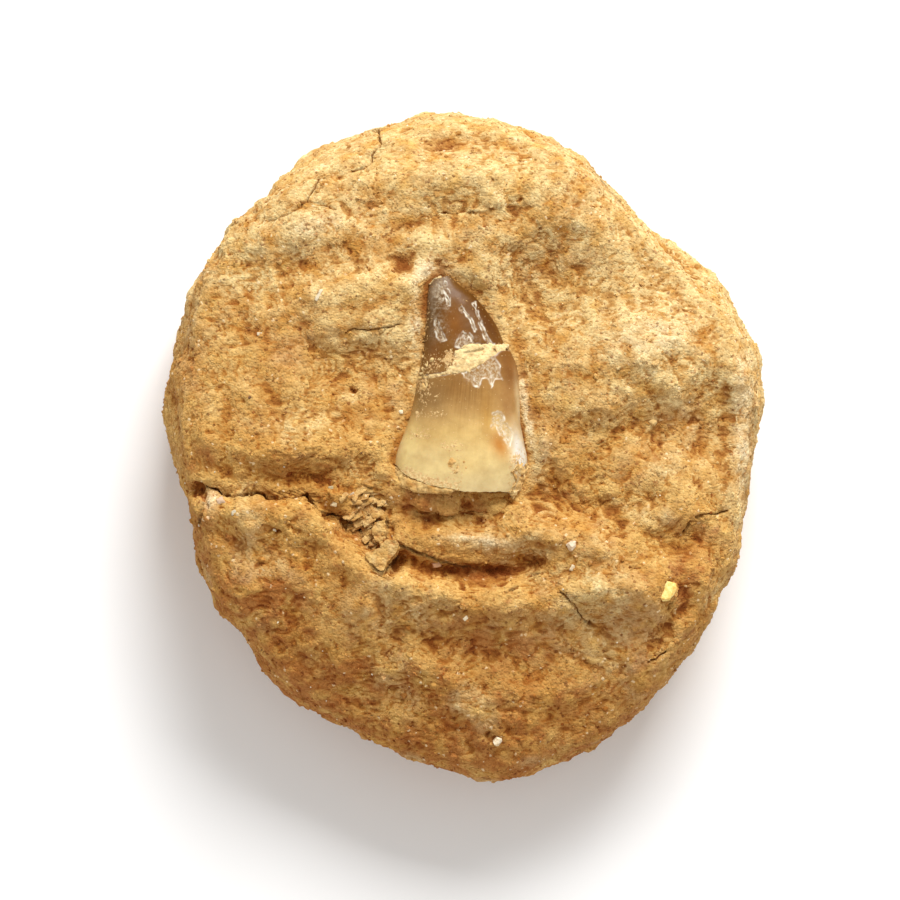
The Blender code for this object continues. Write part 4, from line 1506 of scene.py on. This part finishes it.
@dataclass
class ToothCrown:
    """The tooth's crown in its two fragments, and the sand in the break between them."""

    form: CrownForm
    flake_depth: float = 0.14
    ridge_height: float = 0.12
    ridge_width: float = 0.16
    flake_rim: float = 0.11
    splinter_width: float = 0.09
    break_rim: float = 0.14
    break_wear: float = 0.12
    step_at_break: float = 0.5
    shade: float = 0.84
    sand_voxel: float = 0.14
    sand_floor: float = 27.0

    SAND_CRACK = ((0.0, 15.3), (1.6, 15.5), (3.2, 15.9))
    GROUND = (
        (-9.0, Tone(240, 216, 160)), (-3.0, Tone(246, 218, 150)), (2.0, Tone(230, 194, 122)),
        (6.0, Tone(214, 171, 104)), (10.0, Tone(182, 135, 72)), (16.0, Tone(138, 92, 36)),
        (29.0, Tone(108, 72, 30)),
    )
    # Colour washes on the enamel; the darker olive ones down the left flank and the brown ones down the right
    # flank are partly the enamel's colour and partly painted shade on the flanks
    WASHES = (
        (Wash(4.0, 21.0, 7.0, 1.5, 115, 0.85), Tone(104, 60, 16)),
        (Wash(7.6, 11.5, 4.5, 1.6, 95, 0.7), Tone(146, 92, 46)),
        (Wash(-5.4, 22.0, 6.0, 1.0, 85, 0.7), Tone(112, 86, 56)),
        (Wash(-1.6, 20.0, 3.5, 1.6, 100, 0.7), Tone(150, 92, 34)),
        (Wash(-5.0, 14.5, 2.6, 1.3, 90, 0.7), Tone(142, 88, 38)),
        (Wash(-7.2, 8.5, 5.0, 1.2, 80, 0.6), Tone(138, 108, 62)),
        (Wash(6.0, -0.2, 2.4, 1.4, 115, 0.95), Tone(216, 146, 64)),
        (Wash(3.8, 4.6, 3.6, 1.1, 95, 0.7), Tone(204, 152, 72)),
        (Wash(-9.4, -0.6, 4.0, 1.6, 75, 0.7), Tone(255, 232, 158)),
        (Wash(7.2, 6.0, 3.4, 1.3, 95, 0.6), Tone(182, 130, 74)),
        (Wash(9.3, -1.6, 3.6, 1.1, 100, 1.3), Tone(255, 252, 240)),
        (Wash(-4.9, 7.5, 4.0, 2.6, 90, 0.55), Tone(142, 110, 68)),
        (Wash(9.2, 5.5, 5.0, 0.45, 95, 0.9), Tone(236, 212, 164)),
        (Wash(-6.0, -2.0, 4.0, 2.0, 0, 0.6), Tone(240, 214, 152)),
        (Wash(0.5, -3.5, 3.0, 1.6, 0, 0.6), Tone(238, 204, 132)),
        # painted light: lightens the crown's left flank at the base, which lies in shade
        (Wash(-10.8, -1.4, 2.6, 0.6, 75, 0.6), Tone(250, 226, 166)),
        (Wash(-4.6, 26.0, 2.6, 1.2, 60, 0.7), Tone(154, 134, 110)),
    )

    def build(self) -> list[Piece]:
        """Builds and dresses the two fragments.

        Returns:
            The base and the tip.
        """
        far = 2 * PAST_CROWN
        root = ragged(ROOT_BREAK, 0.45, 0.1, 3)
        base_rim = ragged(BASE_RIM, 0.35, 0.1, 5)
        tip_rim = ragged(TIP_RIM, 0.35, 0.1, 8)
        base_side = [*base_rim, *root[::-1]]
        tip_side = [(-PAST_CROWN, far), (PAST_CROWN, far), *tip_rim[::-1]]
        sides = (
            ("crown_base_enamel", "tooth_crown_base", "cream_enamel", base_side, base_rim),
            ("crown_tip_enamel", "tooth_crown_tip", "smoky_enamel", tip_side, tip_rim),
        )
        made = []
        for name, node, slot, side, rim in sides:
            fragment = self.form.build(name)
            cut(fragment, prism(name + "_side", side, CUTTER_FLOOR, CUTTER_TOP), "INTERSECT")
            self.carve(fragment, rim, node == "tooth_crown_tip")
            pick(fragment)
            bpy.ops.object.shade_smooth_by_angle(angle=math.radians(CORNER_ANGLE))
            finish_piece(fragment, EnamelFinish().material(slot.replace("_", " ")), [node])
            made.append(fragment)
        return made

    def carve(self, fragment: Piece, rim: Line, is_tip: bool) -> None:
        """Sinks the flaked patches, raises the ridge and marks the colours.

        Args:
            fragment: The base or the tip.
            rim: The edge that faces the other fragment.
            is_tip: True for the tip, whose right side stands back a little at the break.
        """
        points, normals = read_points(fragment), read_normals(fragment)
        x, y = points[:, 0].copy(), points[:, 1].copy()
        left, right = self.form.edge_x(y)
        across = np.clip(2 * (x - left) / np.maximum(right - left, 0.1) - 1.0, -1.2, 1.2)
        upper = smooth_step(points[:, 2] - self.form.edge_level(y), -0.6, 0.4)
        ridge = np.interp(y, (-8.0, 12.0, 20.0, 28.0), (0.86, 0.72, 0.5, 0.2))
        ridge_ends = 1.0 - smooth_step(y, 16.0, 22.0)
        height = self.ridge_height * fall(across - ridge, self.ridge_width) * ridge_ends
        height += waves(points, (0.1, 4.5, 5.0), (0.035, 1.2, 8.0))
        # edge: pale broken enamel round flakes, splinters and the break, partly a painted highlight
        flaked, edge = np.zeros(len(points)), np.zeros(len(points))
        wavy_x = waves(points, (0.16, 0.5, 2.0), (0.2, 1.3, 21.0), base=x)
        wavy_y = waves(points, (0.16, 0.5, 4.0), (0.2, 1.3, 25.0), base=y)
        flake_edge = waves(points, (1.4, 0.8, 6.0), base=0.5)
        for patch in FLAKED_PATCHES:
            distance = line_distance(wavy_x, wavy_y, [*patch, patch[0]])
            within = inside(wavy_x, wavy_y, patch)
            flaked = np.maximum(flaked, np.where(within, smooth_step(distance, 0.0, 0.2), 0.0))
            edge = np.maximum(edge, fall(distance, self.flake_rim) * flake_edge)
        splinter_edge = waves(points, (1.3, 0.8, 9.0), base=0.45)
        for line in SPLINTERS:
            near = fall(line_distance(wavy_x, wavy_y, line), self.splinter_width)
            edge = np.maximum(edge, near * splinter_edge)
        height -= self.flake_depth * flaked
        fuzzy = held(waves(points, (1.3, 0.7, 33.0), (0.6, 0.35, 35.0), base=0.75))
        etched = held(sum(patch.share(x, y) for patch in ETCHED_PATCHES))
        flaked = np.maximum(flaked, etched * fuzzy)
        broken = line_distance(x, y, rim)
        height -= self.break_wear * fall(broken, 0.2)
        edge = np.maximum(edge, fall(broken, self.break_rim) * waves(points, (0.9, 1.3, 16.0), base=0.3))
        points += normals * (height * upper)[:, None]
        if is_tip:
            right_side = smooth_step(across, 0.0, 1.0) * (1.0 - smooth_step(y, 16.0, 21.0))
            points[:, 0] -= self.step_at_break * right_side
        write_points(fragment, points)
        wander = y + 1.6 * field(points, 5.0, 12.0) - 1.5 * across
        dust = held(sum(patch.share(x, y) for patch in DUST_PATCHES), 1.3)
        marks = {
            Mark.TINT: self.tint(x, y, wander), Mark.ALONG: 0.1 * self.form.share(y), Mark.ACROSS: across,
            Mark.FLAKED: flaked, Mark.RIM: held(edge * upper) * 0.9,
            Mark.STRIPED: STRIPED_PATCH.share(x, y), Mark.DUST: dust * upper,
        }
        for mark, values in marks.items():
            store(fragment, mark, values)

    def tint(self, x: Array, y: Array, wander: Array) -> Array:
        """The enamel's colour.

        Args:
            x: Places on the face, to the right.
            y: Places on the face, towards the tip.
            wander: Places along the crown where its ground colour is read.

        Returns:
            The colour of each place.
        """
        stops, tones = zip(*self.GROUND)
        tones = np.array([tone.linear() for tone in tones])
        tint = np.column_stack([np.interp(wander, stops, tones[:, part]) for part in range(3)])
        for wash, tone in self.WASHES:
            share = held(wash.share(x, y))[:, None]
            tint = tint * (1.0 - share) + np.array(tone.linear()) * share
        return tint * self.shade

    def sand_patch(self, name: str, crust: Crust, seed: float) -> Piece:
        """Sand that clings to the crown, in the shape of its surface.

        Args:
            name: The new piece's name.
            crust: Its outline, height, roughness and paleness.
            seed: Moves its pattern on, so that two patches differ.

        Returns:
            The patch.
        """
        patch = CrownForm(segments=96, rings=120).build(name, crust.grow)
        cut(patch, prism(name + "_side", crust.outline, self.sand_floor, CUTTER_TOP), "INTERSECT")
        voxel_remesh(patch, self.sand_voxel)
        points, normals = read_points(patch), read_normals(patch)
        x, y = points[:, 0], points[:, 1]
        height = waves(points, (0.7, 1.5, seed), (0.6, 0.6, seed + 4.0))
        height = crust.rough * (height + 0.5 * (0.4 - cells(points, 0.7, seed)))
        height -= 0.36 * fall(line_distance(x, y, [*crust.outline, crust.outline[0]]), 0.45)
        crack = fall(line_distance(x, y, self.SAND_CRACK), 0.2)
        height -= 0.35 * crack
        write_points(patch, points + normals * height[:, None])
        pick(patch)
        bpy.ops.object.shade_smooth()
        marks = {
            Mark.RUST: 0.4 * field(points, 1.5, seed),
            Mark.PALE: waves(points, (0.5, 1.5, seed + 9.0), base=crust.pale),
            Mark.CHALK: np.full(len(points), 0.3 * smooth_step(np.array(crust.pale), 0.6, 1.0)),
            # painted shade in the patch's low spots and along its crack
            Mark.HOLLOW: 0.35 - 0.5 * height, Mark.CRACK: 0.4 * crack,
        }
        store_shares(patch, marks)
        return patch

    def build_sand(self) -> list[Piece]:
        """Builds and dresses the sand in the break and the crusts on the enamel.

        Returns:
            The fill and the crusts.
        """
        fill = self.sand_patch("break_fill_sand", Crust(0.04, 0.3, 1.0, FILL_OUTLINE), 3.0)
        finish = SandFinish(pale=Tone(250, 230, 168), speckle=0.5, crumb_relief=0.24, grain_relief=0.08)
        finish_piece(fill, finish.material("pale sand"), ["break_fill"])
        crusts = [self.sand_patch(f"crust_{step}", crust, 20.0 + step) for step, crust in enumerate(CRUSTS)]
        crust = joined("crown_sand_crust", crusts)
        finish = SandFinish(crumb_relief=0.2, grain_relief=0.08)
        finish_piece(crust, finish.material("crust sand"))
        return [fill, crust]


@dataclass
class Inclusions:
    """The small chips of bone and quartz in the face."""

    corner: float = 35.0
    bevel_from: float = 20.0

    NODES = {
        "bone_chip_yellow": ("yellow_chip", ChipFinish(Tone(250, 224, 140), Tone(232, 184, 84))),
        "bone_chip_white": ("white_chip", ChipFinish(Tone(242, 226, 196), Tone(206, 178, 134), 0.6)),
        "quartz_pebble": ("pale_pebble", ChipFinish(Tone(236, 218, 190), Tone(208, 176, 138), 0.35)),
    }

    def build(self) -> list[Piece]:
        """Builds and dresses each chip.

        Returns:
            The chips.
        """
        made = []
        for node, (slot, finish) in self.NODES.items():
            chip = merged_copy(node, node + "_detail")
            sharp = math.radians(self.bevel_from)
            apply_modifier(chip, "BEVEL", width=0.1 * MM, segments=2, limit_method="ANGLE", angle_limit=sharp)
            apply_modifier(chip, "SUBSURF", subdivision_type="SIMPLE", levels=3, render_levels=3)
            roughen(chip, (0.07, 0.7, 2.0), (0.05, 0.3, 4.0), corner=self.corner)
            finish_piece(chip, finish.material(slot.replace("_", " ")), [node])
            made.append(chip)
        return made


class GrainKind(NamedTuple):
    """A kind of loose grain: how often it comes and its tone."""

    weight: float
    tone: Tone


@dataclass
class SandGrains:
    """Loose grains and crumbs that lie half sunk in the block's skin."""

    stone: Piece
    crown: CrownForm
    fine_count: int = 11000
    coarse_count: int = 700
    bright_count: int = 90
    seed: int = 11

    BRIGHT = (
        GrainKind(0.45, Tone(250, 236, 204)), GrainKind(0.25, Tone(240, 214, 168)),
        GrainKind(0.15, Tone(216, 150, 92)), GrainKind(0.15, Tone(120, 84, 56)),
    )

    def model(self, sides: int, seed: int) -> tuple[Array, Array]:
        """One uneven grain, a unit across, which is then copied.

        Args:
            sides: Sides that it has round its middle, or 0 for a rounder one.
            seed: Number that fixes the chance.

        Returns:
            Its points and the three points of each face.
        """
        deselect_all()
        if sides:
            bpy.ops.mesh.primitive_uv_sphere_add(segments=sides, ring_count=2, radius=0.5)
        else:
            bpy.ops.mesh.primitive_ico_sphere_add(subdivisions=1, radius=0.5)
        grain = bpy.context.object
        with editing(grain):
            bpy.ops.transform.vertex_random(offset=0.16, seed=seed)
            bpy.ops.mesh.quads_convert_to_tris()
            bpy.ops.mesh.normals_make_consistent(inside=False)
        points = np.array([vertex.co for vertex in grain.data.vertices])
        faces = np.array([face.vertices for face in grain.data.polygons])
        bpy.data.objects.remove(grain)
        return points, faces

    def spots(self, count: int, rng: np.random.Generator) -> tuple[Array, Array, Array]:
        """Places on the block's skin, picked by chance.

        Args:
            count: How many places.
            rng: Source of chance.

        Returns:
            The places, the way the skin faces at each, and the face of the block at each.
        """
        mesh = self.stone.data
        mesh.calc_loop_triangles()
        corners = read_rows(mesh.loop_triangles, "vertices", 3, int)
        points = read_points(self.stone)
        a, b, c = (points[corners[:, side]] for side in range(3))
        normal = np.cross(b - a, c - a)
        area = np.linalg.norm(normal, axis=1)
        normal /= np.maximum(area, 1e-9)[:, None]
        middle = (a + b + c) / 3
        wanted = area * (0.25 + 0.75 * smooth_step(normal[:, 2], -0.5, 0.5))
        wanted *= middle[:, 2] > 0.6
        wanted *= ~inside(middle[:, 0], middle[:, 1], self.crown.outline())
        picked = rng.choice(len(corners), count, p=wanted / wanted.sum())
        u, v = rng.random((2, count))
        flip = u + v > 1
        u, v = np.where(flip, 1 - u, u)[:, None], np.where(flip, 1 - v, v)[:, None]
        place = a[picked] + u * (b - a)[picked] + v * (c - a)[picked]
        return place, normal[picked], corners[picked][:, 0]

    def scatter(self, name: str, count: int, sizes: tuple[float, float], sides: int, seed: int) -> Piece:
        """Scatters copies of a few grains over the block as one piece.

        Args:
            name: The piece's name.
            count: How many grains.
            sizes: Smallest and largest usual size.
            sides: Sides of a grain, or 0 for a rounder one.
            seed: Number that fixes the chance.

        Returns:
            The piece.
        """
        rng = np.random.default_rng(seed)
        place, normal, vertex = self.spots(count, rng)
        size = sizes[0] * (sizes[1] / sizes[0]) ** (rng.random(count) ** 1.6)
        place = place + normal * (size * rng.uniform(-0.38, 0.02, count))[:, None]
        turns = rng.normal(size=(count, 4))
        turns /= np.linalg.norm(turns, axis=1)[:, None]
        squash = rng.uniform(0.65, 1.25, (count, 3))
        kinds = rng.choice(len(self.BRIGHT), count, p=[kind.weight for kind in self.BRIGHT])
        tones = np.array([kind.tone.linear() for kind in self.BRIGHT])[kinds]
        tones = tones * rng.uniform(0.85, 1.1, (count, 1))
        order: list[Array] = []
        all_points, all_faces, start = [], [], 0
        models = [self.model(sides, seed + step) for step in range(5)]
        for index, (points, faces) in enumerate(models):
            mine = np.arange(count) % len(models) == index
            w, x, y, z = turns[mine].T
            turn = np.array([
                [1 - 2 * (y * y + z * z), 2 * (x * y - z * w), 2 * (x * z + y * w)],
                [2 * (x * y + z * w), 1 - 2 * (x * x + z * z), 2 * (y * z - x * w)],
                [2 * (x * z - y * w), 2 * (y * z + x * w), 1 - 2 * (x * x + y * y)],
            ])
            shaped = points[None, :, :] * squash[mine][:, None, :] * size[mine][:, None, None]
            placed = np.einsum("abn,npb->npa", turn, shaped) + place[mine][:, None, :]
            number = int(mine.sum())
            offsets = start + np.arange(number)[:, None, None] * len(points)
            all_points.append(placed.reshape(-1, 3))
            all_faces.append((faces[None, :, :] + offsets).reshape(-1, 3))
            order.append(np.repeat(np.flatnonzero(mine), len(points)))
            start += number * len(points)
        piece = new_piece(name, np.vstack(all_points), np.vstack(all_faces).tolist())
        grain = np.concatenate(order)
        store(piece, Mark.TINT, tones[grain])
        # each grain takes the block's stains and painted light and shade at its spot
        for mark in (Mark.RUST, Mark.PALE, Mark.CHALK, Mark.HOLLOW, Mark.CRACK):
            values = read_rows(self.stone.data.attributes[mark.value].data, "value", 1)[:, 0]
            store(piece, mark, values[vertex][grain])
        return piece

    def build(self) -> list[Piece]:
        """Builds and dresses the fine and the coarse grains.

        Returns:
            The pieces of grains.
        """
        sand, bright = SandFinish().material("loose sand"), GrainFinish().material("bright grains")
        made = [
            (self.scatter("fine_sand_grains", self.fine_count, (0.3, 0.7), 4, self.seed), sand),
            (self.scatter("coarse_sand_grains", self.coarse_count, (0.6, 1.4), 0, self.seed + 20), sand),
            (self.scatter("bright_sand_grains", self.bright_count, (0.25, 0.6), 0, self.seed + 40), bright),
        ]
        for piece, material in made:
            finish_piece(piece, material)
        return [piece for piece, _ in made]


def broken_crumb(name: str, size: Vector, seed: int, uneven: float) -> Piece:
    """One angular crumb, broken from a block.

    Args:
        name: The crumb's name.
        size: Its length, width and height.
        seed: Number that fixes the chance.
        uneven: How far its corners stray, as a share of its size.

    Returns:
        The crumb, about its own middle.
    """
    deselect_all()
    bpy.ops.mesh.primitive_cube_add(size=1.0)
    made = bpy.context.object
    made.name = made.data.name = name
    with editing(made):
        bpy.ops.transform.vertex_random(offset=uneven, seed=seed)
        bpy.ops.transform.resize(value=size * MM, center_override=(0.0, 0.0, 0.0))
        bpy.ops.mesh.bevel(offset=0.18 * min(size) * MM, segments=2)
        bpy.ops.mesh.subdivide(number_cuts=2)
    return made


@dataclass
class Seat:
    """Finds the block's skin, so that small pieces can be set on it."""

    stone: Piece

    def __post_init__(self) -> None:
        """Reads the block's skin once."""
        self.skin = BVHTree.FromObject(self.stone, bpy.context.evaluated_depsgraph_get())

    def height(self, x: float, y: float) -> float:
        """Height of the skin at a place on the face, in millimetres."""
        above = Vector(((x + FACE_SHIFT[0]) * MM, (y + FACE_SHIFT[1]) * MM, 60 * MM))
        return self.skin.ray_cast(above, Vector((0.0, 0.0, -1.0)))[0].z / MM

    def place(self, piece: Piece, x: float, y: float, sunk: float, turn: Matrix) -> None:
        """Sets a piece on the skin.

        Args:
            piece: The piece, about its own middle.
            x: Its place on the face, to the right.
            y: Its place, towards the tip.
            sunk: How far its middle lies below the skin.
            turn: How it is turned.
        """
        middle = Vector((x + FACE_SHIFT[0], y + FACE_SHIFT[1], self.height(x, y) - sunk)) * MM
        piece.data.transform(Matrix.Translation(middle) @ turn)


@dataclass
class LooseCrumbs:
    """The wedge of thin crumbling slats at the end of the main crack, and the two chips below it."""

    seat: Seat
    slats: int = 18
    slat_turn: float = 31.0
    slat_lean: float = -0.5
    chip_depth: float = 1.6
    uneven: float = 0.28
    voxel: float = 0.14
    seed: int = 5

    # Places of the slats' right ends along Y, how long a slat is there, and where that end lies along X
    WEDGE = ((-16.6, -14.0, -10.0, -6.4), (1.8, 4.6, 7.6, 6.4))
    RIGHT_ENDS = ((-16.6, -9.4, -6.4), (-13.8, -13.3, -15.2))
    # Chips: how far each stands out, and its outline
    CHIPS = (
        (
            0.4, (
                (-15.1, -13.4), (-13.3, -12.6), (-13.1, -14.8), (-13.4, -16.3), (-13.8, -17.3),
                (-14.4, -16.6), (-15.5, -15.5),
            ),
        ),
        (
            0.9, (
                (-16.5, -18.3), (-15.6, -17.8), (-14.4, -17.6), (-13.4, -16.6), (-12.8, -16.0),
                (-11.4, -16.3), (-10.9, -17.3), (-11.4, -18.3), (-12.4, -19.5), (-13.1, -20.5),
                (-13.8, -21.3), (-14.4, -21.0), (-15.6, -20.0), (-16.3, -19.3),
            ),
        ),
    )

    def slat(self, y: float, rng: np.random.Generator) -> list[Piece]:
        """One slat, broken across into a few parts.

        Args:
            y: Place of its right end.
            rng: Source of chance.

        Returns:
            Its parts.
        """
        length = float(np.interp(y, *self.WEDGE)) * rng.uniform(0.75, 1.1)
        turn = math.radians(self.slat_turn + rng.normal(0.0, 5.0))
        right_end = float(np.interp(y, *self.RIGHT_ENDS))
        parts = max(1, round(length / rng.uniform(1.3, 2.8)))
        made = []
        for part in range(parts):
            reach = length / parts * rng.uniform(0.7, 1.1)
            back = length / parts * (part + 0.5) + rng.normal(0.0, 0.3)
            x_here = right_end - back * math.cos(turn) + rng.normal(0.0, 0.15)
            y_here = y - back * math.sin(turn) + rng.normal(0.0, 0.2)
            size = Vector((reach * rng.uniform(1.0, 1.3), rng.uniform(0.7, 1.4), rng.uniform(0.25, 0.6)))
            piece = broken_crumb("slat_part", size, int(rng.integers(1, 9999)), self.uneven)
            lean = Matrix.Rotation(self.slat_lean + rng.normal(0.0, 0.12), 4, "X")
            tilt = Matrix.Rotation(rng.normal(0.0, 0.1), 4, "Y")
            spin = Matrix.Rotation(turn + rng.normal(0.0, 0.26), 4, "Z")
            self.seat.place(piece, x_here, y_here, rng.uniform(-0.25, 0.2), spin @ tilt @ lean)
            made.append(piece)
        return made

    def chip(self, rise: float, outline: Line) -> Piece:
        """A flat chip of stone.

        Args:
            rise: How far it stands out of the block.
            outline: Its corners.

        Returns:
            The chip.
        """
        middle = np.mean(outline, axis=0)
        top = self.seat.height(*middle) + rise
        corners = ragged([*outline, outline[0]], 0.5, 0.12, 4)[:-1]
        made = prism("chip_part", corners, top - self.chip_depth, top)
        voxel_remesh(made, self.voxel)
        apply_modifier(made, "SMOOTH", factor=0.5, iterations=1)
        return made

    def build(self) -> Piece:
        """Builds the slats and chips and seats them in the block as one piece.

        Returns:
            The crumbs.
        """
        rng = np.random.default_rng(self.seed)
        crumbs = [self.chip(rise, outline) for rise, outline in self.CHIPS]
        for y in np.linspace(self.WEDGE[0][0], self.WEDGE[0][-1], self.slats):
            crumbs.extend(self.slat(float(y), rng))
        whole = joined("loose_crumbs", crumbs)
        points, normals, height = roughen(whole, (0.34, 1.0, 3.0), (0.16, 0.45, 5.0))
        low_side = smooth_step(-normals[:, 2], -0.7, 0.2)
        marks = {
            Mark.RUST: waves(points, (0.5, 1.4, 7.0), base=0.12),
            Mark.PALE: waves(points, (0.5, 1.1, 9.0), base=0.3),
            Mark.CHALK: np.zeros(len(points)),
            # painted shade on the crumbs' low sides and in their low spots
            Mark.HOLLOW: 0.5 + 0.25 * low_side - 0.5 * height, Mark.CRACK: 0.1 * low_side,
        }
        store_shares(whole, marks)
        finish_piece(whole, SandFinish().material("crumb sand"))
        return whole


class Bit(NamedTuple):
    """A small pale bit in the sand: its place, length, width, turn in degrees and tone."""

    x: float
    y: float
    length: float
    width: float
    turn: float
    tone: Tone


@dataclass
class PaleBits:
    """The few pale bits of shell and quartz that catch the eye in the face."""

    seat: Seat
    sunk: float = 0.12
    lean: float = 0.3
    uneven: float = 0.34
    seed: int = 30

    BITS = (
        Bit(-4.7, -20.3, 1.3, 1.0, 20, Tone(212, 166, 128)),
        Bit(0.3, -29.2, 0.9, 0.6, 40, Tone(244, 226, 190)),
        Bit(-24.4, 24.9, 1.7, 0.45, 60, Tone(240, 224, 190)),
        Bit(-34.3, 18.5, 0.8, 0.5, 0, Tone(240, 224, 190)),
        Bit(-10.6, 5.4, 0.7, 0.6, 0, Tone(242, 226, 192)),
        Bit(-41.0, -9.6, 1.2, 0.9, 10, Tone(214, 182, 150)),
        Bit(-21.7, -9.9, 1.0, 0.8, 70, Tone(228, 204, 160)),
        Bit(-18.8, -8.6, 0.9, 0.7, 30, Tone(206, 184, 152)),
        Bit(-22.3, -7.4, 1.0, 0.7, 0, Tone(190, 174, 136)),
        Bit(-31.8, -14.4, 0.6, 0.5, 0, Tone(246, 230, 196)),
        Bit(-38.6, -11.4, 0.9, 0.6, 30, Tone(220, 206, 176)),
        Bit(18.1, -20.7, 0.9, 0.7, 60, Tone(236, 214, 176)),
    )

    def build(self) -> Piece:
        """Builds the bits and seats them in the block as one piece.

        Returns:
            The bits.
        """
        made = []
        for number, bit in enumerate(self.BITS):
            size = Vector((bit.length, bit.width, bit.width))
            piece = broken_crumb("pale_bit", size, self.seed + number, self.uneven)
            store(piece, Mark.TINT, np.tile(bit.tone.linear(), (len(piece.data.vertices), 1)))
            tilt = Matrix.Rotation(math.radians(bit.turn), 4, "Z") @ Matrix.Rotation(self.lean, 4, "X")
            self.seat.place(piece, bit.x, bit.y, self.sunk, tilt)
            made.append(piece)
        whole = joined("pale_bits", made)
        roughen(whole, (0.2, 0.5, 3.0))
        finish_piece(whole, GrainFinish().material("pale bits"))
        return whole


@dataclass
class Studio:
    """Pale floor, a soft key light past the tip, a weak one opposite, and the camera straight above."""

    camera_height: float = 1.22
    lens: float = 283.0
    aim: tuple[float, float] = (-0.00227, -0.00073)
    key_place: tuple[float, float, float] = (0.3, 1.1, 0.9)
    key_size: float = 0.7
    key_strength: float = 25.8
    fill_place: tuple[float, float, float] = (-0.3, -1.2, 0.35)
    fill_size: float = 0.8
    fill_strength: float = 2.0
    sky: float = 0.6
    sky_tone: tuple[float, float, float, float] = (1.0, 0.98, 0.95, 1.0)
    floor_size: float = 6.0
    floor_gap: float = 0.02

    def build(self) -> None:
        """Sets up floor, lights and camera."""
        deselect_all()
        bpy.ops.mesh.primitive_plane_add(size=self.floor_size, location=(0.0, 0.0, -self.floor_gap * MM))
        floor = bpy.context.object
        floor.name = "studio_floor"
        paint = Paint("pale floor")
        floor.data.materials.append(paint.done(Base_Color=Tone(252, 252, 252), Roughness=0.9))
        world = bpy.data.worlds.new("soft sky")
        world.use_nodes = True
        light = world.node_tree.nodes["Background"].inputs
        light["Color"].default_value = self.sky_tone
        light["Strength"].default_value = self.sky
        bpy.context.scene.world = world
        self.softbox("key_softbox", Vector(self.key_place), self.key_size, self.key_strength)
        self.softbox("fill_softbox", Vector(self.fill_place), self.fill_size, self.fill_strength)
        bpy.ops.object.camera_add(location=(*self.aim, self.camera_height), rotation=(0.0, 0.0, 0.0))
        camera = bpy.context.object
        camera.data.lens = self.lens
        camera.data.sensor_width = 36.0
        camera.data.clip_start, camera.data.clip_end = 0.05, 20.0
        bpy.context.scene.camera = camera
        bpy.context.scene.view_settings.view_transform = "Standard"
        log.info("studio: floor, sky, two lights and camera")

    def softbox(self, name: str, place: Vector, size: float, strength: float) -> None:
        """A square lamp that faces the block.

        Args:
            name: The lamp's name.
            place: Where it stands, in metres.
            size: Length of its side, in metres.
            strength: Its power in watts.
        """
        bpy.ops.object.light_add(type="AREA", location=place)
        lamp = bpy.context.object
        lamp.name = name
        lamp.rotation_euler = (-place).to_track_quat("-Z", "Y").to_euler()
        lamp.data.shape = "SQUARE"
        lamp.data.size = size
        lamp.data.energy = strength


def main() -> None:
    """Builds every piece in order, logging the face count of each finished piece."""
    logging.basicConfig(level=logging.INFO, format="%(relativeCreated)d ms %(message)s")
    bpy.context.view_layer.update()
    form = CrownForm()
    stone = MatrixBlock(form).build()
    crown = ToothCrown(form)
    crown.build()
    crown.build_sand()
    Inclusions().build()
    seat = Seat(stone)
    LooseCrumbs(seat).build()
    PaleBits(seat).build()
    SandGrains(stone, form).build()
    Studio().build()


if __name__ == "__main__":
    main()
